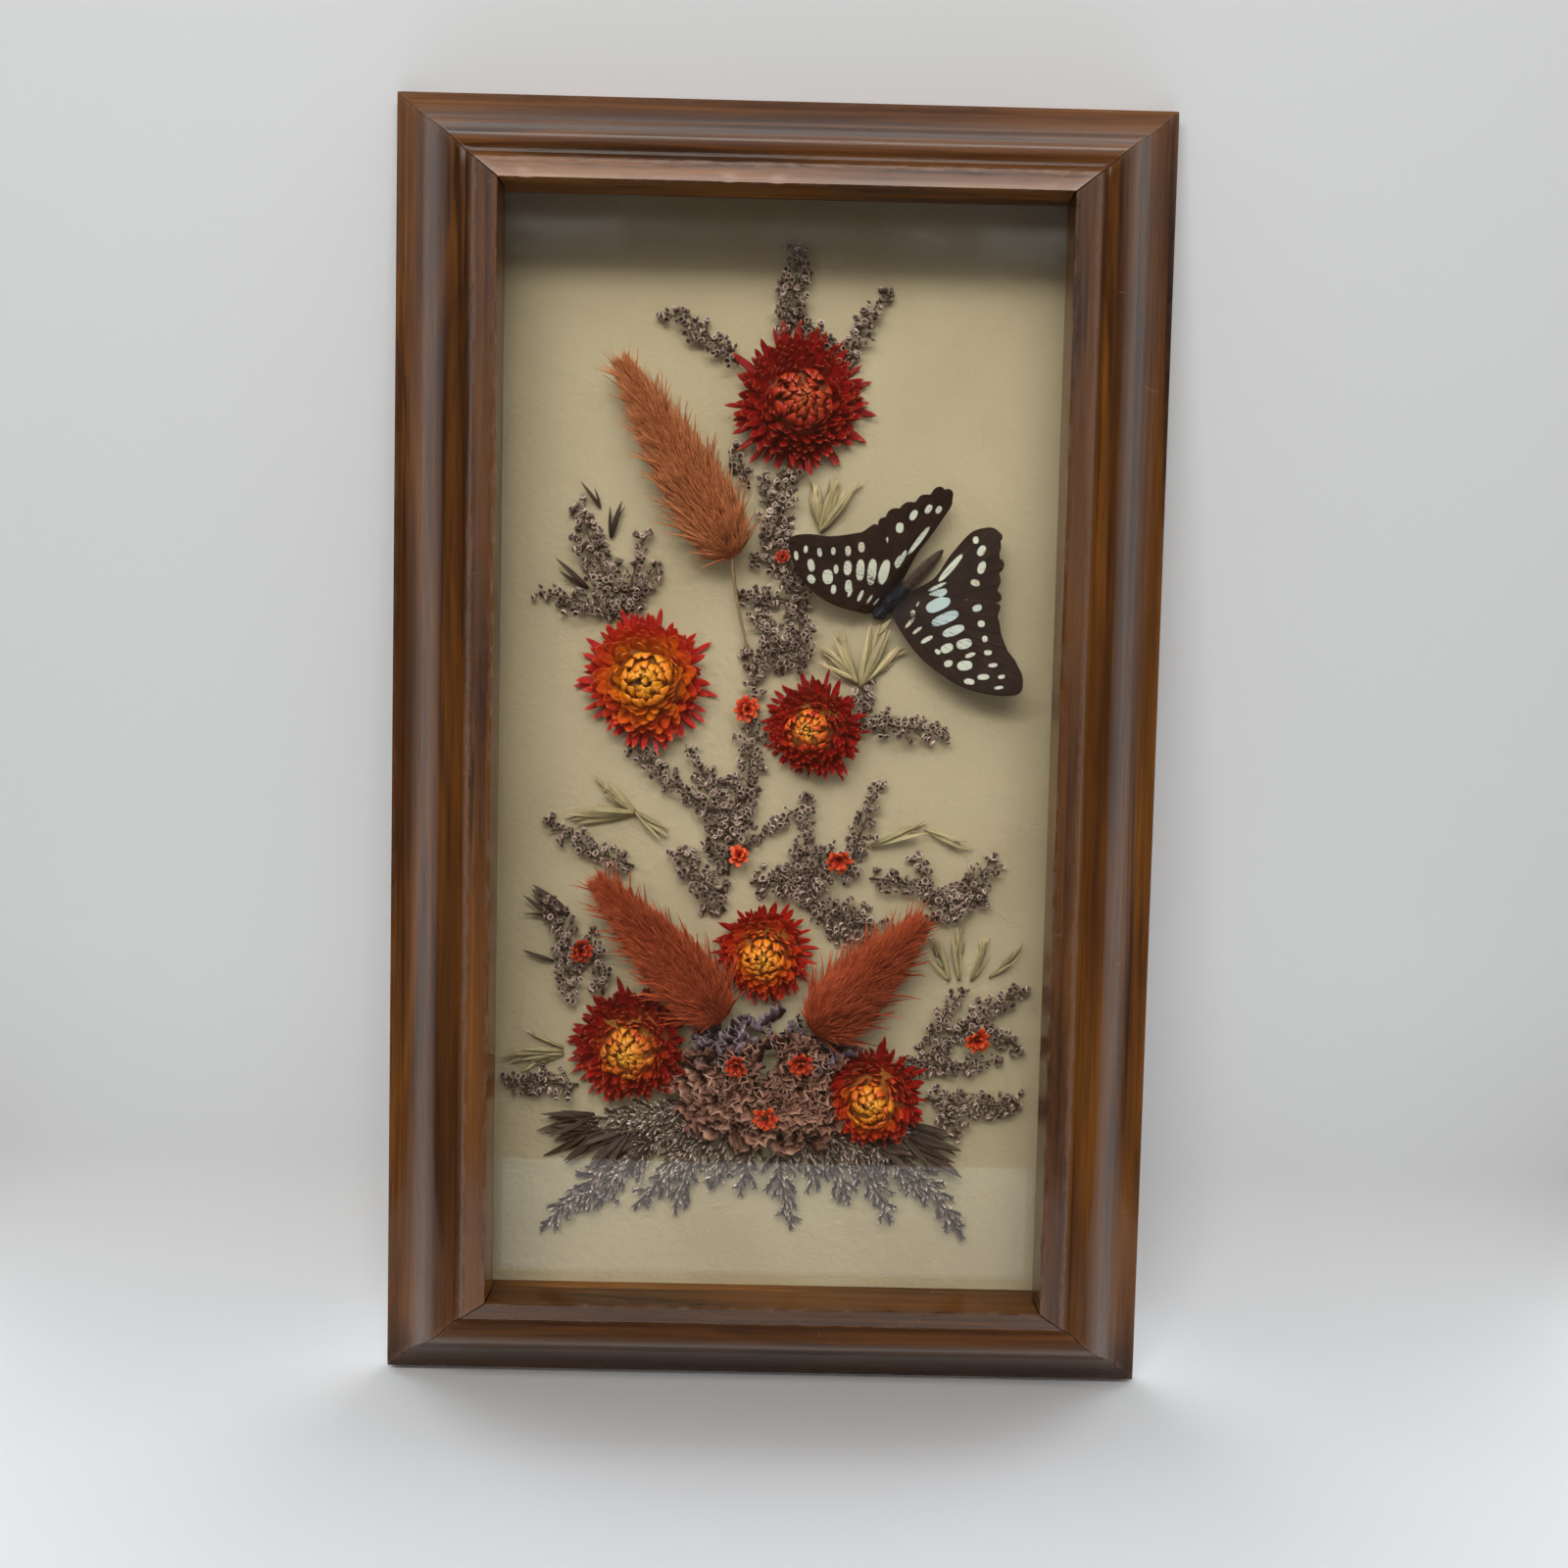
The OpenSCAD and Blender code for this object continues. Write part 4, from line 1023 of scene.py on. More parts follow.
def hydrangea(name, material, seed):
    """Ruffled florets, packed edge up over the clump."""
    rng = random.Random(seed)
    petals = Setting()
    while len(petals.places) < PETALS:
        lobe = rng.choice(CLUMP_LOBES)
        a, r = rng.uniform(0, 2 * math.pi), math.sqrt(rng.random())
        x, y = lobe[0] + lobe[2] * r * math.cos(a), lobe[1] + lobe[2] * r * math.sin(a) * 0.98
        mid = Vector((x + 0.5, 0, y + 91.5))
        far = math.sqrt((mid.x / 24) ** 2 + (mid.z / 17.5) ** 2)
        if far > 1.02:
            continue
        if any((x - u) ** 2 + (y - v) ** 2 < (wide / 2 * 0.9) ** 2 for (u, v, wide), *_ in BLOOMS.values()):
            continue
        height = CLUMP_H * (0.22 + 0.42 * math.sqrt(max(0, 1 - far * far))) * rng.uniform(0.35, 1.0)
        out = Vector((mid.x / 24, -1.5 * (1.05 - far * 0.55), mid.z / 17.5))
        out += scatter(rng, 0.38)
        mauve = 1.0 if y > -84 + rng.gauss(0, 2.5) and (x < -4 or x > 11 or y > -79) else 0.0
        spin = rng.uniform(0, 6.28)
        petals.put(on_backing(x, y, height), frame_on(out, (math.cos(spin), -0.2, math.sin(spin))),
                   MM * rng.uniform(4.4, 6.6), rng.randrange(7), tint=rng.random(), mauve=mauve)
    return petals.make(name, ruffle_shapes(), material)


def hydrangea_finish():
    """Ruffled petals, brown over most of the clump and mauve at its top, with painted shade towards each
    petal's base.
    """
    f = Finish("hydrangea_petals", Roughness=0.8, **{"Specular IOR Level": 0.2})
    p = f.place()
    along, tint = f.mark("along"), f.mark("tint")
    cloud = f.noise(p, 420, 4, 0.6)
    # Both ramps run near black at each petal's base, deep in the clump: painted shade.
    where = along * 0.85 + (cloud - 0.5) * 0.7 + (tint - 0.5) * 0.35
    brown = where.colours((0.0, (0.024, 0.0095, 0.0060)), (0.45, (0.135, 0.056, 0.038)),
                          (0.8, (0.30, 0.145, 0.100)), (1.0, (0.48, 0.28, 0.20)))
    mauve = where.colours((0.0, (0.030, 0.015, 0.020)), (0.45, (0.125, 0.080, 0.098)),
                          (0.8, (0.25, 0.180, 0.210)), (1.0, (0.40, 0.31, 0.33)))
    tone = f.blend(f.mark("mauve"), brown, mauve)
    veins = f.noise(f.vector(f.mark("side") * 6, along * 2, tint * 60), 1, 3)
    f.set(Base_Color=tone)
    f.bump(veins + cloud, 0.00015, 0.9)
    return f.material


SMALL_STAR = (1, 53.5)
STARS_LOW = ((-8, 12), (-9, -28.5), (18.5, -28.5), (-52.5, -55), (57.5, -77.5), SMALL_STAR)
STARS_CLUMP = ((-8.5, -84.5), (9, -84), (0, -99))


def star_shape(seed):
    """A small flower with folded petals round a deep pit."""
    rng = random.Random(seed)
    verts, faces, along, side = [], [], [], []
    for ring, (number, reach, rise, half) in enumerate(((8, 0.86, 0.72, 0.30), (6, 0.50, 1.05, 0.25))):
        for i in range(number):
            path = ((0.06, 0.05), (reach * 0.35, rise * 0.45), (reach * 0.72, rise * 0.85),
                    (reach * 1.0, rise * 1.0), (reach * 1.10, rise * 0.98))
            part = leaf_shape(path, (half * 0.5, half * 0.85, half, half * 0.72, half * 0.12), 0.05,
                              cup=0.45)
            turn = Matrix.Rotation(2 * math.pi * (i + ring * 0.5 + rng.uniform(-0.2, 0.2)) / number, 3, "Z")
            tip = Matrix.Rotation(rng.gauss(0, 0.12), 3, "X")
            first = len(verts)
            verts += [tuple(turn @ (tip @ Vector(v))) for v in part[0]]
            faces += [tuple(first + k for k in face) for face in part[1]]
            along += part[2]["along"]
            side += part[2]["side"]
    return verts, faces, {"along": along, "side": side}


def star_flowers(name, material, stalk, seed):
    """Small flowers on short stalks, low on the backing or over the clump."""
    rng = random.Random(seed)
    flowers, runs = Setting(), []
    for spots, height in ((STARS_LOW, 3.4), (STARS_CLUMP, 9.6)):
        for x, y in spots:
            base = on_backing(x, y, height)
            stand = (Matrix.Rotation(rng.gauss(0, 0.16), 3, "Z")
                     @ Matrix.Rotation(math.radians(90) + rng.gauss(0, 0.16), 3, "X")
                     @ Matrix.Rotation(rng.uniform(0, 6), 3, "Z"))
            size = MM * rng.uniform(3.3, 3.8) * (0.6 if (x, y) == SMALL_STAR else 1)
            flowers.put(base, stand, size, rng.randrange(4), tint=rng.random())
            runs.append(([on_backing(x, y, 0.3), on_backing(x, y, height * 0.6), base], 0.5 * MM, 0.8 * MM))
    return together(name, flowers.make(name, [star_shape(60 + i) for i in range(4)], material),
                    stems(name + "_stalks", runs, stalk))


# Silvery twigs: where those of the fan end, how they gather, and six more as (base, tip)
TWIG_TIPS = ((-62, -134), (-52, -129), (-46.5, -127.5), (-36, -127.5), (-25, -128.5), (-15, -122),
             (-6.5, -123), (7.5, -132), (15, -121), (23.5, -125), (35.5, -130), (44, -124), (55.5, -134.5))
TWIG_GATHER, TWIG_BASE = 0.55, -104
TWIGS = [((x * TWIG_GATHER, TWIG_BASE), (x, y)) for x, y in TWIG_TIPS] + [
    ((-14, -97), (-47, -103)), ((-18, -99), (-55, -108.5)), ((-12, -101), (-38, -113)),
    ((-8, -103), (-27, -116)), ((16, -99), (44, -108)), ((10, -102), (33, -114))]


def scale_shapes():
    """Tiny pointed scale leaves that hug a twig."""
    path = [(0, 0), (0.3, 0.08), (0.65, 0.13), (1.0, 0.20)]
    return [leaf_shape(path, (0.10, w, w * 0.8, 0.01), 0.09, cup=-0.4) for w in (0.19, 0.23, 0.16)]


def twig_fringe(name, material, stalk, seed):
    """Silvery twigs in flat sprays: scale leaves in pairs along each branchlet."""
    rng = random.Random(seed)
    scales, runs = Setting(), []

    def clothe(points, size):
        length = sum((points[k + 1] - points[k]).length for k in range(len(points) - 1))
        number = max(4, round(length / (0.90 * MM)))
        for i in range(number + 1):
            spot, ahead, sideways = at_share(points, i / number)
            for hand in (-1, 1):
                way = ahead + sideways * hand * rng.uniform(0.25, 0.6) + Vector(
                    (0, -rng.uniform(0.0, 0.45), 0))
                scales.put(spot + sideways * hand * 0.12 * MM, frame_on(way, roll=rng.gauss(0, 0.4)),
                           size * MM * rng.uniform(0.75, 1.15) * (1 - 0.35 * i / number),
                           rng.randrange(3), tint=rng.random())

    for root_at, tip_at in TWIGS:
        base, tip = on_backing(*root_at, 1.2), on_backing(*tip_at, 1.2)
        spine = bowed(base, tip, rng.uniform(-0.06, 0.06) * (tip - base).length, 10, 0.5 * MM)
        runs.append((spine, 0.38 * MM, 0.16 * MM))
        clothe(spine[3:], 2.8)
        number = max(5, round((tip - base).length / (3.1 * MM)))
        for i in range(number):
            t = 0.16 + 0.76 * i / number
            root, ahead, sideways = at_share(spine, t)
            sideways *= 1 if i % 2 else -1
            slope = rng.uniform(0.45, 0.8)
            way = (ahead * math.cos(slope) + sideways * math.sin(slope)).normalized()
            end = root + way * (rng.uniform(3.5, 8.0) * (1.2 - t) + 1.5) * MM
            end.y = backing_y - rng.uniform(0.7, 2.6) * MM
            twig = bowed(root, end, rng.uniform(-0.5, 0.5) * MM, 3)
            runs.append((twig, 0.2 * MM, 0.1 * MM))
            clothe(twig, 2.5)
    return together(name, scales.make(name, scale_shapes(), material), stems(name + "_stalks", runs, stalk))


# Bunches of dark leaves: base, tip and width, which says how full the bunch is
LEAVES = (((-48, -102), (-63, -101.5), 3), ((-47, -104), (-64, -107), 3), ((-46, -106), (-62, -114), 3.5),
          ((-38, -106), (-55, -115), 3), ((-30, -106), (-45, -113), 3), ((28, -107), (42, -117), 3),
          ((37, -105), (55, -117), 3.5), ((40, -103), (53, -111), 3), ((-58, -48), (-68.5, -40.5), 2.5),
          ((-56, -46), (-66, -37.5), 2.5), ((-60, -59), (-68.5, -56), 2.5), ((-49, 66), (-54.5, 73), 2.5),
          ((-46, 58), (-43, 68), 2.5), ((-52, 44), (-61, 52), 2.5))
# Bunches of grass: base, tip and how many blades stand in each
BLADES = (((11, 61), (21, 74), 5), ((11, 62), (9, 74), 5), ((11, 61), (15, 76), 5), ((23, 19), (28, 36), 7),
          ((22, 20), (17, 34), 7), ((23, 20), (12, 30), 6), ((24, 20), (35, 30), 5),
          ((-38, -17), (-49, -8.5), 5), ((-38, -17), (-56.5, -18), 5), ((-38, -17), (-29, -24), 5),
          ((27, -25), (42.5, -18.5), 5), ((42, -20), (54, -25.5), 3), ((50, -62), (44, -50.5), 3),
          ((53, -62), (51.5, -47), 3), ((56, -62), (60, -50), 3), ((61, -61), (70, -52), 3),
          ((-57, -84), (-72, -85.5), 4), ((-57, -83), (-67, -78.5), 4), ((-57, -85), (-69, -89), 3))


def slim_leaf(bend_by, fat=1.0):
    """A slim leaf of length 1, arched by bend_by."""
    steps = 9
    path = [(t / steps, bend_by * math.sin(math.pi * 0.8 * t / steps)) for t in range(steps + 1)]
    widths = [max(0.05 * fat * math.sin(math.pi * min(1, 0.16 + 0.84 * t / steps)) ** 0.8, 0.004)
              for t in range(steps + 1)]
    return leaf_shape(path, widths, 0.02, cup=0.5)


def dark_leaves(name, material, seed):
    """Bunches of narrow brown leaves, three or six to each place."""
    rng = random.Random(seed)
    bunch = Setting()
    for base, tip, width in LEAVES:
        a, b = on_backing(*base, 0.9), on_backing(*tip, 1.4)
        length = (b - a).length
        for i in range(6 if width >= 3 else 3):
            way = (b - a).normalized()
            swing = Matrix.Rotation(rng.gauss(0, 0.30) if i else 0.0, 3, "Y")
            way = swing @ way + Vector((0, -rng.uniform(0.0, 0.16), 0))
            size = length * (rng.uniform(0.6, 0.95) if i else 1.0)
            bunch.put(a + Vector((0, -0.12 * i * MM, 0)), frame_on(way, roll=rng.gauss(0, 0.5)),
                      size, rng.randrange(3), tint=rng.random())
    return bunch.make(name, [slim_leaf(0.05, 1.5), slim_leaf(0.10, 1.2), slim_leaf(-0.02, 1.8)], material)


def grasses(name, material, seed):
    """Pale grass blades with loose husks along them."""
    rng = random.Random(seed)
    bunch = Setting()
    for base, tip, number in BLADES:
        a, b = on_backing(*base, 0.8), on_backing(*tip, 1.0)
        length = (b - a).length
        way = (b - a).normalized()
        for i in range(number):
            swing = Matrix.Rotation(rng.gauss(0, 0.15) if i else 0.0, 3, "Y")
            bunch.put(a + Vector((0, -0.3 * i * MM, 0)),
                      frame_on(swing @ way + Vector((0, -rng.uniform(0, 0.08), 0)), roll=rng.gauss(0, 0.6)),
                      length * (rng.uniform(0.7, 1.0) if i else 1.0), rng.randrange(3), tint=rng.random())
        for i in range(5):
            t = rng.uniform(0.25, 0.85)
            side = Matrix.Rotation(rng.choice((-1, 1)) * rng.uniform(0.15, 0.45), 3, "Y")
            bunch.put(a.lerp(b, t) + Vector((0, -0.3 * MM, 0)),
                      frame_on(side @ way, roll=rng.gauss(0, 1)),
                      length * rng.uniform(0.22, 0.38), 3, tint=rng.random())
    return bunch.make(name, [slim_leaf(0.04, 1.2), slim_leaf(0.10, 0.9), slim_leaf(-0.03, 1.4),
                             slim_leaf(0.05, 2.6)], material)


straw_stalk = plant_finish("brown_stalk", ((0.0, (0.075, 0.045, 0.028)), (1.0, (0.12, 0.080, 0.055))))
fasten(grasses("pale_grasses", plant_finish("pale_grass", (
    (0.0, (0.38, 0.29, 0.14)), (0.4, (0.41, 0.35, 0.18)), (1.0, (0.50, 0.38, 0.21))), vary=0.5), 5),
    "pale_grass", "grasses")
fasten(dark_leaves("brown_leaves", plant_finish("dark_leaves", (
    (0.0, (0.030, 0.014, 0.008)), (0.6, (0.055, 0.030, 0.019)), (1.0, (0.110, 0.066, 0.042)))), 6),
    "dark_leaves", "dark_leaves")
fasten(twig_fringe("silver_twigs", plant_finish("silver_twigs", (
    (0.0, (0.036, 0.017, 0.010)), (0.60, (0.115, 0.072, 0.050)), (0.88, (0.33, 0.25, 0.200)),
    (1.0, (0.56, 0.47, 0.41))), roughness=0.5, vary=0.9, spread=0.24), straw_stalk, 7),
    "silver_twigs", "twig_fringe")
statice_tone = ((0.0, (0.026, 0.0115, 0.0075)), (0.35, (0.100, 0.055, 0.038)),
                (0.78, (0.245, 0.162, 0.128)), (1.0, (0.55, 0.43, 0.36)))
statice_mauve = plant_finish("statice_mauve", statice_tone, vary=0.5, spread=0.14)
for number, (where, sprigs) in enumerate(SPRIGS.items()):
    fasten(statice("statice_" + where + "_sprigs", sprigs, statice_mauve, straw_stalk, 11 + number),
           "statice_mauve", "statice_" + where)
fasten(hydrangea("ruffled_clump", hydrangea_finish(), 21), "hydrangea_petals", "hydrangea_clump")
fasten(star_flowers("small_star_flowers", plant_finish("star_petals", (
    (0.0, (0.07, 0.006, 0.004)), (0.45, (0.40, 0.020, 0.007)), (1.0, (0.78, 0.11, 0.020))),
    roughness=0.4, vary=0.4), straw_stalk, 22), "star_petals", "star_flowers")
tan = fur_finish("tail_tan", (0.42, 0.110, 0.034), (0.58, 0.180, 0.060), (0.70, 0.28, 0.115))
brown = fur_finish("tail_brown", (0.30, 0.042, 0.0135), (0.46, 0.072, 0.0230), (0.60, 0.130, 0.046))
tail_stalk = plant_finish("tail_stalk", ((0.0, (0.30, 0.20, 0.10)), (1.0, (0.36, 0.25, 0.13))))
for number, (where, ends) in enumerate(TAILS.items()):
    fasten(bunny_tail("furry_tail_" + where, ends, tan if where == "upper" else brown, 31 + number,
                      STEM_END if where == "upper" else None, tail_stalk),
           "tail_tan" if where == "upper" else "tail_brown", "bunny_tail_" + where)
for number, (where, (spot, lean, width, slot, stops)) in enumerate(BLOOMS.items()):
    fasten(strawflower("flower_head_" + where, spot, lean, width, stops, 51 + number), slot,
           "strawflower_" + where)

# ---------------------------------------------------------------- butterfly

THORAX_AT, HEAD_ANGLE = (31.5, 43), math.radians(-134)
THORAX_R, WING_T = 2.4, 0.3
WING_STEP = WING_T + 0.1  # the forewings lie on the hindwings
ROOT_HEIGHT = 2 * THORAX_R + 0.4
TILTS = {-1: math.radians(13), 1: math.radians(8)}
BODY_HAIRS = 1500
# The body as (share of the thorax's radius, place along it towards the head)
BODY_LINE = ((0.12, -19), (0.42, -17.5), (0.62, -15), (0.74, -12), (0.76, -9), (0.70, -6.5), (0.66, -5),
             (0.84, -3.6), (1.0, -1.6), (1.0, 1), (0.84, 2.8), (0.60, 4.0), (0.66, 4.9), (0.72, 5.8),
             (0.58, 6.8), (0.15, 7.4))
# Wings: side of the body, layer, outline and spots, in mm. A point of an outline says how far it is
# towards the head and how far from the body. A spot is its middle, half its length and width, the
# turn of its length in degrees, and its tint: -1 tan, 0 cream, 1 bluish.
WINGS = {
    "forewing_left": (-1, 1, (
        (-3, 1), (2, 0.5), (7, 1), (10, 5), (13, 10.5), (14.5, 16), (14.6, 21.5), (13.5, 25.5),
        (10.5, 31), (8, 31.5), (4.5, 28.7), (1.5, 25), (-2, 22), (-6, 19.3), (-10.3, 17.3), (-6.5, 7)), (
        (11.2, 27.3, 1.3, 0.6, 126, 0), (8.2, 26.7, 1.1, 0.6, 139, 0), (6.1, 23.4, 1.2, 0.65, 125, 0),
        (3.2, 21.1, 1.1, 0.65, 133, 0), (0.3, 18.3, 1.4, 0.8, 133, -1), (-3.0, 16.5, 1.4, 0.9, 133, -1),
        (10.1, 22.6, 1.7, 0.95, 123, 0), (6.0, 17.1, 1.3, 0.65, 133, 0), (3.5, 15.1, 2.0, 1.1, 137, 0),
        (1.4, 12.3, 2.9, 1.15, 137, 0), (-0.5, 9.7, 3.6, 1.25, 139, 0), (-2.8, 7.3, 3.5, 1.35, 150, 0),
        (12.6, 19.9, 1.3, 1.0, 98, 0), (9.0, 17.2, 2.0, 1.45, 128, 0), (10.2, 13.7, 1.3, 0.75, 139, 0),
        (6.7, 11.5, 1.7, 0.95, 138, 0), (7.6, 9.9, 1.4, 0.5, 160, 0), (6.2, 7.2, 1.8, 0.55, 159, 0),
        (5.0, 4.7, 1.5, 0.42, 167, 0), (4.1, 2.7, 1.5, 0.4, 175, 0))),
    "hindwing_left": (-1, 0, (
        (1, 0.8), (-5, 1.5), (-12.7, 4.3), (-18.3, 5.2), (-24, 6.2), (-29, 7.5), (-30.8, 10.3),
        (-29.5, 12.8), (-25.4, 14.2), (-20.6, 15.8), (-17, 17.4), (-13.2, 18.1), (-10, 17.3), (-1, 9)), (
        (-7.0, 15.3, 1.4, 0.85, 149, 0), (-8.9, 12.8, 1.4, 0.45, 148, 0), (-14.1, 12.9, 1.4, 1.1, 138, 0),
        (-19.1, 12.7, 1.6, 0.95, 165, 0), (-23.1, 11.0, 1.4, 0.85, 169, 0), (-25.0, 8.9, 1.1, 0.75, 169, 0),
        (-15.5, 6.7, 4.8, 0.72, 172, 0), (-6.1, 6.3, 3.3, 0.6, 160, 0), (-8.6, 6.4, 2.9, 0.62, 162, 0))),
    "forewing_right": (1, 1, (
        (-3, 0.8), (1, 0.5), (4, 4), (5.7, 11), (6.3, 17), (5.7, 23), (4.5, 28.5), (2.2, 33.6),
        (-1.2, 38.5), (-4.6, 41.7), (-7.2, 41.7), (-9.3, 39.5), (-10.8, 36), (-11.8, 31.2),
        (-13.6, 27.3), (-16.3, 23.3), (-18.6, 20.3), (-11, 11)), (
        (-7.2, 9.6, 3.5, 1.75, 160, 1), (-5.9, 13.6, 3.9, 1.45, 158, 1), (-5.1, 17.6, 3.1, 1.25, 157, 0.4),
        (-4.6, 22.1, 2.1, 1.35, 150, 0.2), (-3.6, 25.4, 1.6, 0.6, 155, 0), (-0.6, 26.4, 2.1, 1.35, 140, 0.2),
        (-14.6, 13.8, 1.4, 0.75, 163, 0), (-13.9, 17.7, 1.3, 0.9, 155, 0.5), (-11.7, 21.5, 1.0, 0.9, 135, 0),
        (-9.5, 25.1, 0.9, 0.75, 45, 0), (-7.5, 28.3, 1.1, 0.75, 135, 0), (-6.0, 31.7, 1.3, 0.6, 145, 0),
        (-5.4, 35.5, 1.0, 0.6, 150, 0), (-2.8, 37.1, 1.4, 0.5, 143, 0), (-1.9, 32.1, 1.7, 0.8, 140, 0),
        (1.6, 30.3, 1.5, 0.85, 125, 0), (-0.5, 19.7, 1.8, 1.25, 160, 0), (1.9, 18.6, 0.9, 0.65, 95, 0),
        (2.1, 22.9, 1.2, 0.9, 155, 0), (1.6, 14.2, 1.9, 0.65, 165, 0), (1.7, 10.6, 1.7, 0.5, 172, -0.4),
        (1.6, 7.7, 2.1, 0.5, 5, -1), (-0.7, 6.4, 0.9, 0.6, 30, -1), (-3.4, 5.6, 0.9, 0.25, 15, 0))),
    "hindwing_right": (1, 0, (
        (1, 0.8), (-4.6, 1.5), (-11.5, 3.6), (-19.4, 2.2), (-27.2, 1.7), (-30.8, 3.6), (-32.6, 6),
        (-32, 9.2), (-28.8, 11), (-28, 13.2), (-26.3, 14.9), (-22.6, 17.2), (-18.4, 20.3), (-6, 12)), (
        (-26.7, 4.3, 1.1, 0.8, 50, 0), (-25.7, 7.5, 1.6, 1.0, 15, 0), (-22.5, 10.8, 1.8, 1.05, 25, 0),
        (-18.4, 12.5, 1.3, 0.9, 115, -1), (-16.5, 4.9, 5.0, 0.85, 4, 0), (-10.5, 6.0, 2.9, 0.5, 160, 0.4),
        (-8.6, 7.4, 3.4, 1.15, 160, 0.8))),
}


def at_butterfly(height, tilt=0.0):
    """From a wing's own place (towards the head, left, up, in mm) to the case."""
    turn = Matrix.Rotation(HEAD_ANGLE, 4, "Z") @ Matrix.Rotation(tilt, 4, "X")
    move = Matrix.Translation((*THORAX_AT, height)) @ turn
    return lambda u, v, up: on_backing(*(move @ Vector((u, v, up))))


def smooth_line(points, steps):
    """A closed smooth curve through the points."""
    n, line = len(points), []
    for i in range(n):
        a, b, c, d = (np.array(points[(i + k) % n], float) for k in (-1, 0, 1, 2))
        for s in range(steps):
            t = s / steps
            line.append(0.5 * (2 * b + (c - a) * t + (2 * a - 5 * b + 4 * c - d) * t * t
                               + (3 * b - a - 3 * c + d) * t ** 3))
    return line


def wing_edge(name, outline):
    """The outline with its curves, and scallops between the veins along the outer edge."""
    line = smooth_line(outline, 10)
    hind = name.startswith("hindwing")
    edge, run = [], 0.0
    for i, p in enumerate(line):
        before, after = line[i - 1], line[(i + 1) % len(line)]
        run += float(np.linalg.norm(p - before))
        normal = np.array((before[1] - after[1], after[0] - before[0]))
        normal /= np.linalg.norm(normal) or 1
        if hind:
            share = min(max((-p[0] - 10) / 4, 0), 1) * min(max((p[1] + p[0] * 0.05 - 5.5) / 2, 0), 1)
            wave = (abs(math.sin(math.pi * run / 4.6)) - 0.6) * 0.95
        else:
            share = min(max((-p[0] - 1) / 4, 0), 1) * min(max((p[1] - 14) / 4, 0), 1)
            wave = (abs(math.sin(math.pi * run / 5.0)) - 0.6) * 0.12
        wave += noise.noise(Vector((p[0] * 1.3, p[1] * 1.3, 4))) * 0.12
        edge.append(p - normal * wave * share * (1 if normal @ (p - np.mean(line, 0)) < 0 else -1))
    return edge


def wing_piece(name, material):
    """A thin closed wing that carries its spots and veins as marks on its points."""
    side, layer, outline, spots = WINGS[name]
    edge = wing_edge(name, outline)
    place = at_butterfly(ROOT_HEIGHT + layer * WING_STEP, side * TILTS[side])
    lo, hi = np.min(edge, 0), np.max(edge, 0)
    grid = 0.36
    rim = [Vector(p) for p in edge]
    inside = []
    for i in range(int((hi[0] - lo[0]) / grid)):
        for j in range(int((hi[1] - lo[1]) / grid)):
            inside.append(Vector((lo[0] + (i + 0.5 * (j % 2)) * grid, lo[1] + (j + 0.5) * grid)))
    links = [(i, (i + 1) % len(rim)) for i in range(len(rim))]
    flat, _, faces, *_ = geometry.delaunay_2d_cdt(rim + inside, links, [], 1, 1e-4)
    used = sorted({k for face in faces for k in face})
    index = {k: i for i, k in enumerate(used)}
    flat = np.array([flat[k][:] for k in used])
    faces = [tuple(index[k] for k in face) for face in faces]
    spot, tint = np.full(len(flat), -9.0), np.zeros(len(flat))
    for u, v, half_long, half_wide, turn, hue in spots:
        a = math.radians(turn)
        du, dv = flat[:, 0] - u, flat[:, 1] - v
        along, across = du * math.cos(a) + dv * math.sin(a), -du * math.sin(a) + dv * math.cos(a)
        reach = ((np.abs(along) / half_long) ** 2.4 + (np.abs(across) / half_wide) ** 2.4) ** (1 / 2.4)
        near = (1 - reach) * half_wide
        closer = near > spot
        spot[closer], tint[closer] = near[closer], hue
    cell = np.array((-4.0, 9.0) if name.startswith("hindwing") else (1.0, 13.0))
    vein = np.full(len(flat), 9.0)
    start = np.array((-0.5, 1.5))
    bent = start + (cell - start) * 0.35
    for end in outline[3:-2]:
        for a, b in ((start, bent), (bent, np.array(end))):
            ray = b - a
            t = np.clip(((flat - a) @ ray) / (ray @ ray), 0, 1)
            vein = np.minimum(vein, np.linalg.norm(flat - (a + t[:, None] * ray), axis=1))
    rim_line = np.array(edge)
    rim_gap = np.array([np.min(np.linalg.norm(rim_line - p, axis=1)) for p in flat])
    verts, thick = [], WING_T * 0.32
    for up in (thick, -thick):
        for (u, v), gap in zip(flat, rim_gap):
            billow = 0.22 * math.sin(v * 0.16 + 0.4) * min(v / 8, 1) + 0.05 * noise.noise(
                Vector((u * 0.35, v * 0.35, 1)))
            curl = -0.25 * max(0.0, 1 - gap / 2.2) ** 2 * min(v / 10, 1)
            sunk = max(0.0, 1 - v / 5.0) ** 1.5 * 3.4
            verts.append(place(u, side * v, billow + curl * 0.5 - sunk + up * (1 if gap > 1e-3 else 0.4)))
    n = len(flat)
    solid = faces + [tuple(n + k for k in reversed(face)) for face in faces]
    border = {(a, b): None for face in faces for a, b in zip(face, face[1:] + face[:1])}
    solid += [(b, a, n + a, n + b) for a, b in border if (b, a) not in border]
    marks = {"spot": spot, "hue": tint, "vein": vein, "rim": rim_gap, "root": np.linalg.norm(flat, axis=1)}
    wing = piece_of("spotted_" + name, verts, solid, material,
                    **{key: np.tile(values, 2) for key, values in marks.items()})
    face_out(wing)
    wing.data.set_sharp_from_angle(angle=math.radians(60))
    fasten(wing, "wing_scales", name)


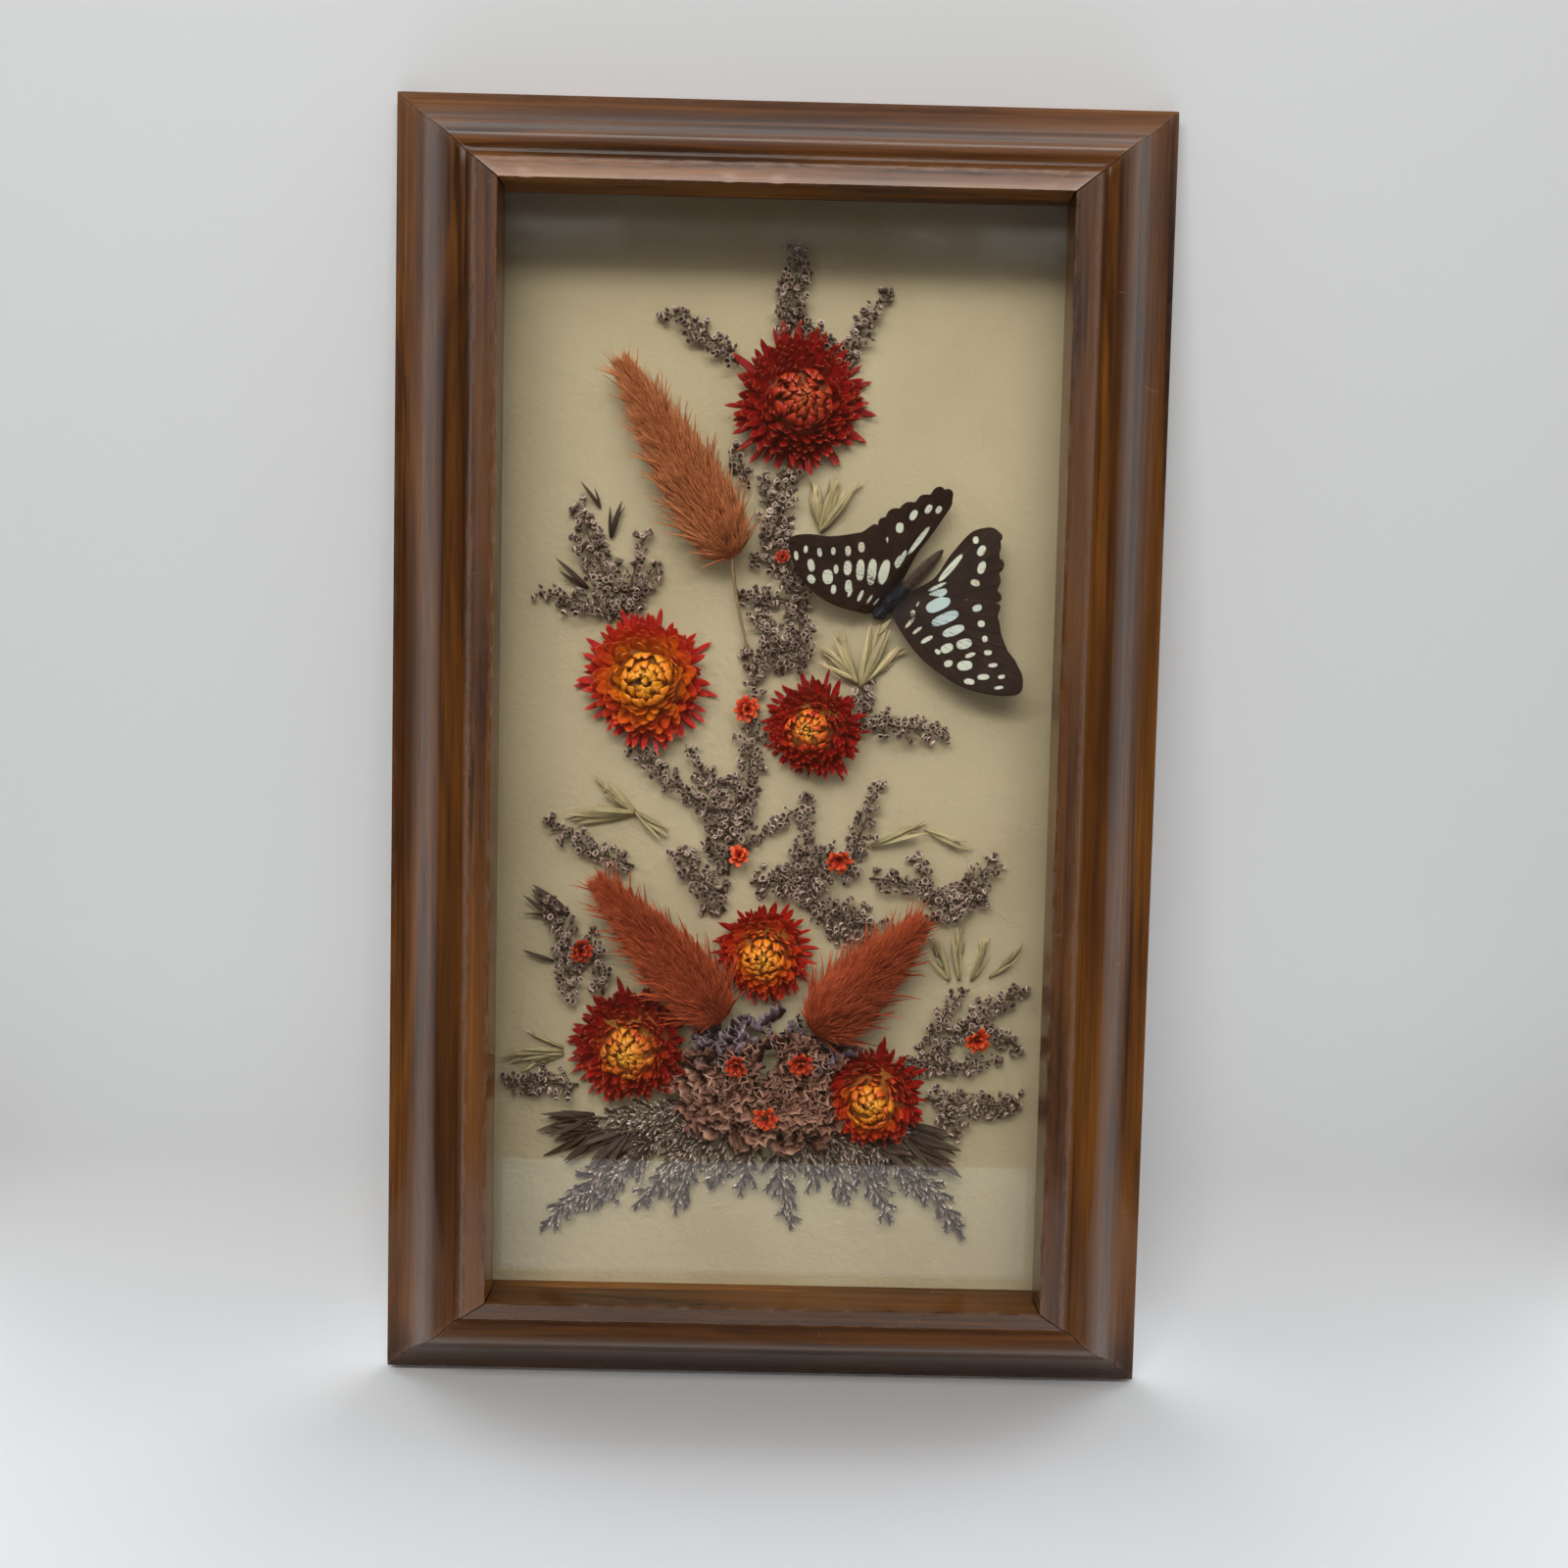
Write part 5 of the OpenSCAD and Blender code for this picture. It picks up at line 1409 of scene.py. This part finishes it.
def wing_scales():
    """Brown-black scales with see-through pale spots, raised veins and rubbed patches."""
    f = Finish("wing_scales", **{"Specular IOR Level": 0.1})
    p = f.place()
    fine = f.noise(p, 2600, 2, 0.6)
    cloud = f.noise(p, 260, 4, 0.6)
    rub = f.noise(p, 330, 5, 0.7, 0.6)
    vein, rim, hue = f.mark("vein"), f.mark("rim"), f.mark("hue")
    tone = f.blend(cloud.rise(0.35, 0.7), (0.0155, 0.0068, 0.0045), (0.026, 0.0115, 0.0075))
    tone = f.blend(rub.rise(0.66, 0.78, 0, 0.65) * rim.rise(0.3, 2.5, 0.4, 1), tone, (0.16, 0.085, 0.055))
    tone = f.blend(vein.rise(0.10, 0.28, 0.55, 0), tone, (0.008, 0.0045, 0.004))
    tone = f.blend(f.mark("root").rise(2.5, 7.0, 0.6, 0), tone, (0.016, 0.019, 0.026))
    pale = f.blend(cloud.rise(0.3, 0.7), (0.60, 0.60, 0.49), (0.52, 0.53, 0.44))
    pale = f.blend(hue.most(0.0), pale, (0.42, 0.50, 0.50))
    pale = f.blend((hue * -1).most(0.0) * rub.rise(0.45, 0.66, 0.1, 0.9), pale, (0.44, 0.29, 0.17))
    edge = f.mark("spot") + (fine - 0.5) * 0.16 + (cloud - 0.5) * 0.25
    tone = f.blend(edge.rise(-0.02, 0.10) * vein.rise(0.06, 0.16, 0.25, 1), tone, pale)
    f.set(Base_Color=tone, Roughness=fine * 0.2 + 0.48)
    f.bump(fine * 0.25 + vein.rise(0.0, 0.35, 1, 0) + cloud * 0.4, 0.00010, 0.8)
    return f.material


def body_finish():
    """Blue-black fur on the thorax, brown rings on the abdomen."""
    f = Finish("butterfly_body", **{"Specular IOR Level": 0.12})
    p = f.place()
    along = f.mark("along")
    cloud = f.noise(p, 600, 3, 0.6)
    fur = f.blend(cloud.rise(0.3, 0.7), (0.010, 0.012, 0.017), (0.028, 0.034, 0.045))
    skin = f.blend(cloud.rise(0.3, 0.7), (0.060, 0.034, 0.022), (0.026, 0.015, 0.011))
    ring = (along * 42).math("SINE")
    skin = f.blend(ring.rise(0.5, 1.0, 0, 0.6), skin, (0.012, 0.008, 0.007))
    skin = f.blend(f.mark("side").rise(0.55, 0.85, 0, 0.6), skin, (0.16, 0.135, 0.11))
    tone = f.blend(along.rise(0.50, 0.58), skin, fur)
    f.set(Base_Color=tone, Roughness=cloud * 0.3 + 0.4)
    f.bump(cloud + ring * 0.5, 0.00012, 0.8)
    return f.material


def butterfly_body(name, seed):
    """The ringed trunk, its coat of fur and two eyes."""
    rng = random.Random(seed)
    place = at_butterfly(THORAX_R + 0.3)
    sides = 20
    line = []
    for a, b in zip(BODY_LINE, BODY_LINE[1:]):
        for s in range(5):
            t = s / 5
            line.append((a[0] + (b[0] - a[0]) * t, a[1] + (b[1] - a[1]) * t))
    line.append(BODY_LINE[-1])
    span = BODY_LINE[-1][1] - BODY_LINE[0][1]
    verts, along, side = [], [], []
    for share, u in line:
        groove = 1 - 0.05 * max(0, math.sin(u * 4.1)) ** 4 if u < -5 else 1
        r = share * THORAX_R * groove
        flat = 0.92 if u < -4 else 1.0
        for a in round_steps(sides):
            verts.append(place(u, r * math.cos(a), r * math.sin(a) * flat))
            along.append((u - BODY_LINE[0][1]) / span)
            side.append(abs(math.cos(a)) * (0.4 + 0.6 * (math.sin(a) > -0.5)) if u < -5 else 0.0)
    finish = body_finish()
    trunk = piece_of(name + "_trunk", verts, ring_faces(len(line), sides), finish, along=along, side=side)
    face_out(trunk)
    fur = Setting()
    origin = place(0, 0, 0)
    ahead, left = place(1, 0, 0) - origin, place(0, 1, 0) - origin
    up = place(0, 0, 1) - origin
    for _ in range(BODY_HAIRS):
        u = rng.uniform(-4.2, 6.4)
        a = rng.uniform(-0.5, math.pi + 0.5)
        share = np.interp(u, [q[1] for q in BODY_LINE], [q[0] for q in BODY_LINE]) * THORAX_R * 0.96
        out = left * math.cos(a) + up * math.sin(a)
        way = (out * 0.75 - ahead * rng.uniform(0.3, 1.2) + left * rng.gauss(0, 0.25)).normalized()
        long = MM * rng.uniform(0.7, 1.5) * (0.6 if u > 3.8 else 1)
        fur.put(place(u, share * math.cos(a), share * math.sin(a)), frame_on(way, tuple(out)),
                (MM * 0.7, long, long), 0, along=0.8, side=0.0)
    hair, faces, _ = thread_shape([(t, 0.12 * t * t) for t in (0, 0.5, 1.0)], 0.07)
    coat = fur.make(name + "_coat", [(hair, faces, {})], finish)
    eyes = []
    for hand in (-1, 1):
        ball = []
        for ring in range(7):
            b = math.pi * ring / 6
            for a in round_steps(10):
                ball.append(place(5.3 + 0.95 * math.cos(b), hand * 1.35 + 0.8 * math.sin(b) * math.cos(a),
                                  0.35 + 0.9 * math.sin(b) * math.sin(a)))
        eyes.append(piece_of(f"{name}_eye_{hand}", ball, ring_faces(7, 10, ends=False), finish,
                             along=[0.62] * len(ball), side=[0.0] * len(ball)))
        face_out(eyes[-1], 1e-6)
    fasten(together(name, trunk, coat, *eyes), "butterfly_body", "butterfly_body")


scales = wing_scales()
for wing in WINGS:
    wing_piece(wing, scales)
butterfly_body("furred_butterfly_body", 71)

# ---------------------------------------------------------------- stage, lamps and camera

LEAN = 0.176  # the table drops by this share towards the viewer, because the case leans back
TABLE_FRONT, TABLE_BACK, BACKDROP_TOP, TABLE_HALF = -0.62, 0.50, 0.052, 0.268
FOLD, FOLD_STEPS = 0.035, 12
EYE = Vector((-0.000733, -0.446191, -0.145264))
floor_up = Vector((0, -LEAN, 1)).normalized()
floor_in = Vector((0, 1, LEAN)).normalized()
FOOT_GAP = 1.2 * MM  # the case's lower corners are worn, so the table lies a little under them
heel = Vector((0, 0, case_lo.z - FOOT_GAP))
head = Vector((0, 0, case_hi.z))
wall_foot = heel + floor_in * (head - heel).dot(floor_in)


def table_and_backdrop():
    """Table and backdrop in one sheet with a rounded fold, and the table behind it.

    The sheet is clear where it is seen from behind. Behind the case the room's soft light passes
    through it, so that the case's back shows in the other views.
    """
    line = [heel + floor_in * (TABLE_FRONT / floor_in.y), wall_foot - floor_in * FOLD]
    for k in range(1, FOLD_STEPS + 1):
        a = math.radians(90 * k / FOLD_STEPS)
        line.append(wall_foot - floor_in * FOLD * (1 - math.sin(a)) + floor_up * FOLD * (1 - math.cos(a)))
    line.append(wall_foot + floor_up * ((BACKDROP_TOP - wall_foot.z) / floor_up.z))
    halves = [TABLE_HALF] + [(p.y - EYE.y) * 0.5 + 0.003 + (BACKDROP_TOP - p.z) * 0.036
                             for p in line[1:]]
    verts = [p + Vector((hand * half, 0, 0)) for hand in (-1, 1) for p, half in zip(line, halves)]
    n = len(line)
    faces = [(n + i, n + i + 1, i + 1, i) for i in range(n - 1)]
    near, far = line[1], heel + floor_in * (TABLE_BACK / floor_in.y)
    faces.append(tuple(range(2 * n, 2 * n + 4)))
    verts += [p + Vector((hand * half, 0, 0)) for p, half, hand in (
        (near, halves[1], -1), (near, halves[1], 1), (far, TABLE_HALF, 1), (far, TABLE_HALF, -1))]
    f = Finish("backdrop", Roughness=0.95)
    cloud = f.noise(f.place(), 3, 3, 0.5)
    x, y, z = f.parts(f.place())
    height = z - y * LEAN - heel.z
    tone = f.blend(cloud, (0.755, 0.785, 0.815), (0.80, 0.825, 0.845))
    # Painted shade: the table is darker towards the viewer. It is also darker behind the backdrop's foot.
    tone = f.blend(y.rise(-0.34, -0.12, 1, 0), tone, (0.50, 0.515, 0.53))
    tone = f.blend(y.rise(wall_foot.y, wall_foot.y + 0.05), tone, (0.52, 0.54, 0.56))
    f.set(Base_Color=f.blend(height.rise(0.0, 0.12), tone, (0.89, 0.94, 0.985)))
    light = f.add("LightPath")
    seen = (f.read(light, "Is Camera Ray") + f.read(light, "Is Glossy Ray")
            + f.read(light, "Is Transmission Ray")).least(1)
    behind = (x.size().rise(case_hi.x - 0.016, case_hi.x, 1, 0) * height.rise(0.004, 0.02)
              * z.rise(case_hi.z + 0.005, case_hi.z + 0.02, 1, 0))
    clear = f.add("BsdfTransparent")
    backs = f.read(f.add("NewGeometry"), "Backfacing")
    f.show(f.mix(backs.most(behind * (1 - seen)), f.shader.outputs[0], clear.outputs[0]))
    thing = piece_of("table_and_backdrop", verts, faces, f.material)


KEY_ANGLE = math.radians(27)


def key_lamp():
    """A long soft lamp above the viewer. Its angle is that of the top rail's shadow on the backing."""
    data = bpy.data.lights.new("key", "AREA")
    data.shape, data.size, data.size_y = "RECTANGLE", 1.02, 0.2
    data.energy, data.color = 7.6, (1, 0.97, 0.93)
    thing = bpy.data.objects.new("key", data)
    bpy.context.scene.collection.objects.link(thing)
    aim = Vector((0, 0, middle_z + 0.1))
    away = Vector((-0.105, -math.cos(KEY_ANGLE), math.sin(KEY_ANGLE))) * 1.15
    thing.location = aim + away
    thing.rotation_euler = (-away).to_track_quat("-Z", "Y").to_euler()


def room_light():
    """A room lit from above and behind, dim where the viewer stands, which the glass mirrors."""
    world = bpy.data.worlds.new("room")
    bpy.context.scene.world = world
    world.use_nodes = True
    room = Nodes(world.node_tree)
    x, y, z = room.parts(room.read(room.add("TexCoord"), "Generated"))
    tone = room.blend(y.rise(-0.93, -0.78), (0.100, 0.058, 0.034), (0.25, 0.235, 0.215))
    tone = room.blend(y.rise(-0.50, -0.10), tone, (0.10, 0.10, 0.10))
    tone = room.blend(y.rise(-0.60, -0.05) * z.rise(0.15, 0.45), tone, (1.20, 1.24, 1.30))
    tone = room.blend(y.rise(0.45, 0.75) * z.rise(0.35, 0.60, 1, 0), tone, (0.66, 0.68, 0.70))
    above = z.rise(0.76, 0.84) * y.rise(0.16, 0.24) * x.size().rise(0.40, 0.60, 1, 0)
    tone = room.blend(above, tone, (4.2, 4.0, 3.8))
    ground = room.add("Background", {}, {"Color": tone, "Strength": 1.0})
    room.add("OutputWorld", {}, {"Surface": ground.outputs[0]})


def camera():
    """The photograph's viewpoint, solved from the four mitred corners of the case."""
    data = bpy.data.cameras.new("view")
    data.sensor_width, data.lens = 36, 36
    thing = bpy.data.objects.new("view", data)
    bpy.context.scene.collection.objects.link(thing)
    right = Vector((0.999712, -0.00679, 0.023032))
    up = Vector((-0.022581, 0.06038, 0.99792))
    back = Vector((-0.008167, -0.998152, 0.060209))
    turn = Matrix((right, up, back)).transposed().to_4x4()
    thing.matrix_world = Matrix.Translation(EYE) @ turn
    data.clip_start = 0.01
    bpy.context.scene.camera = thing


table_and_backdrop()
key_lamp()
room_light()
camera()
bpy.context.scene.view_settings.view_transform = "Standard"
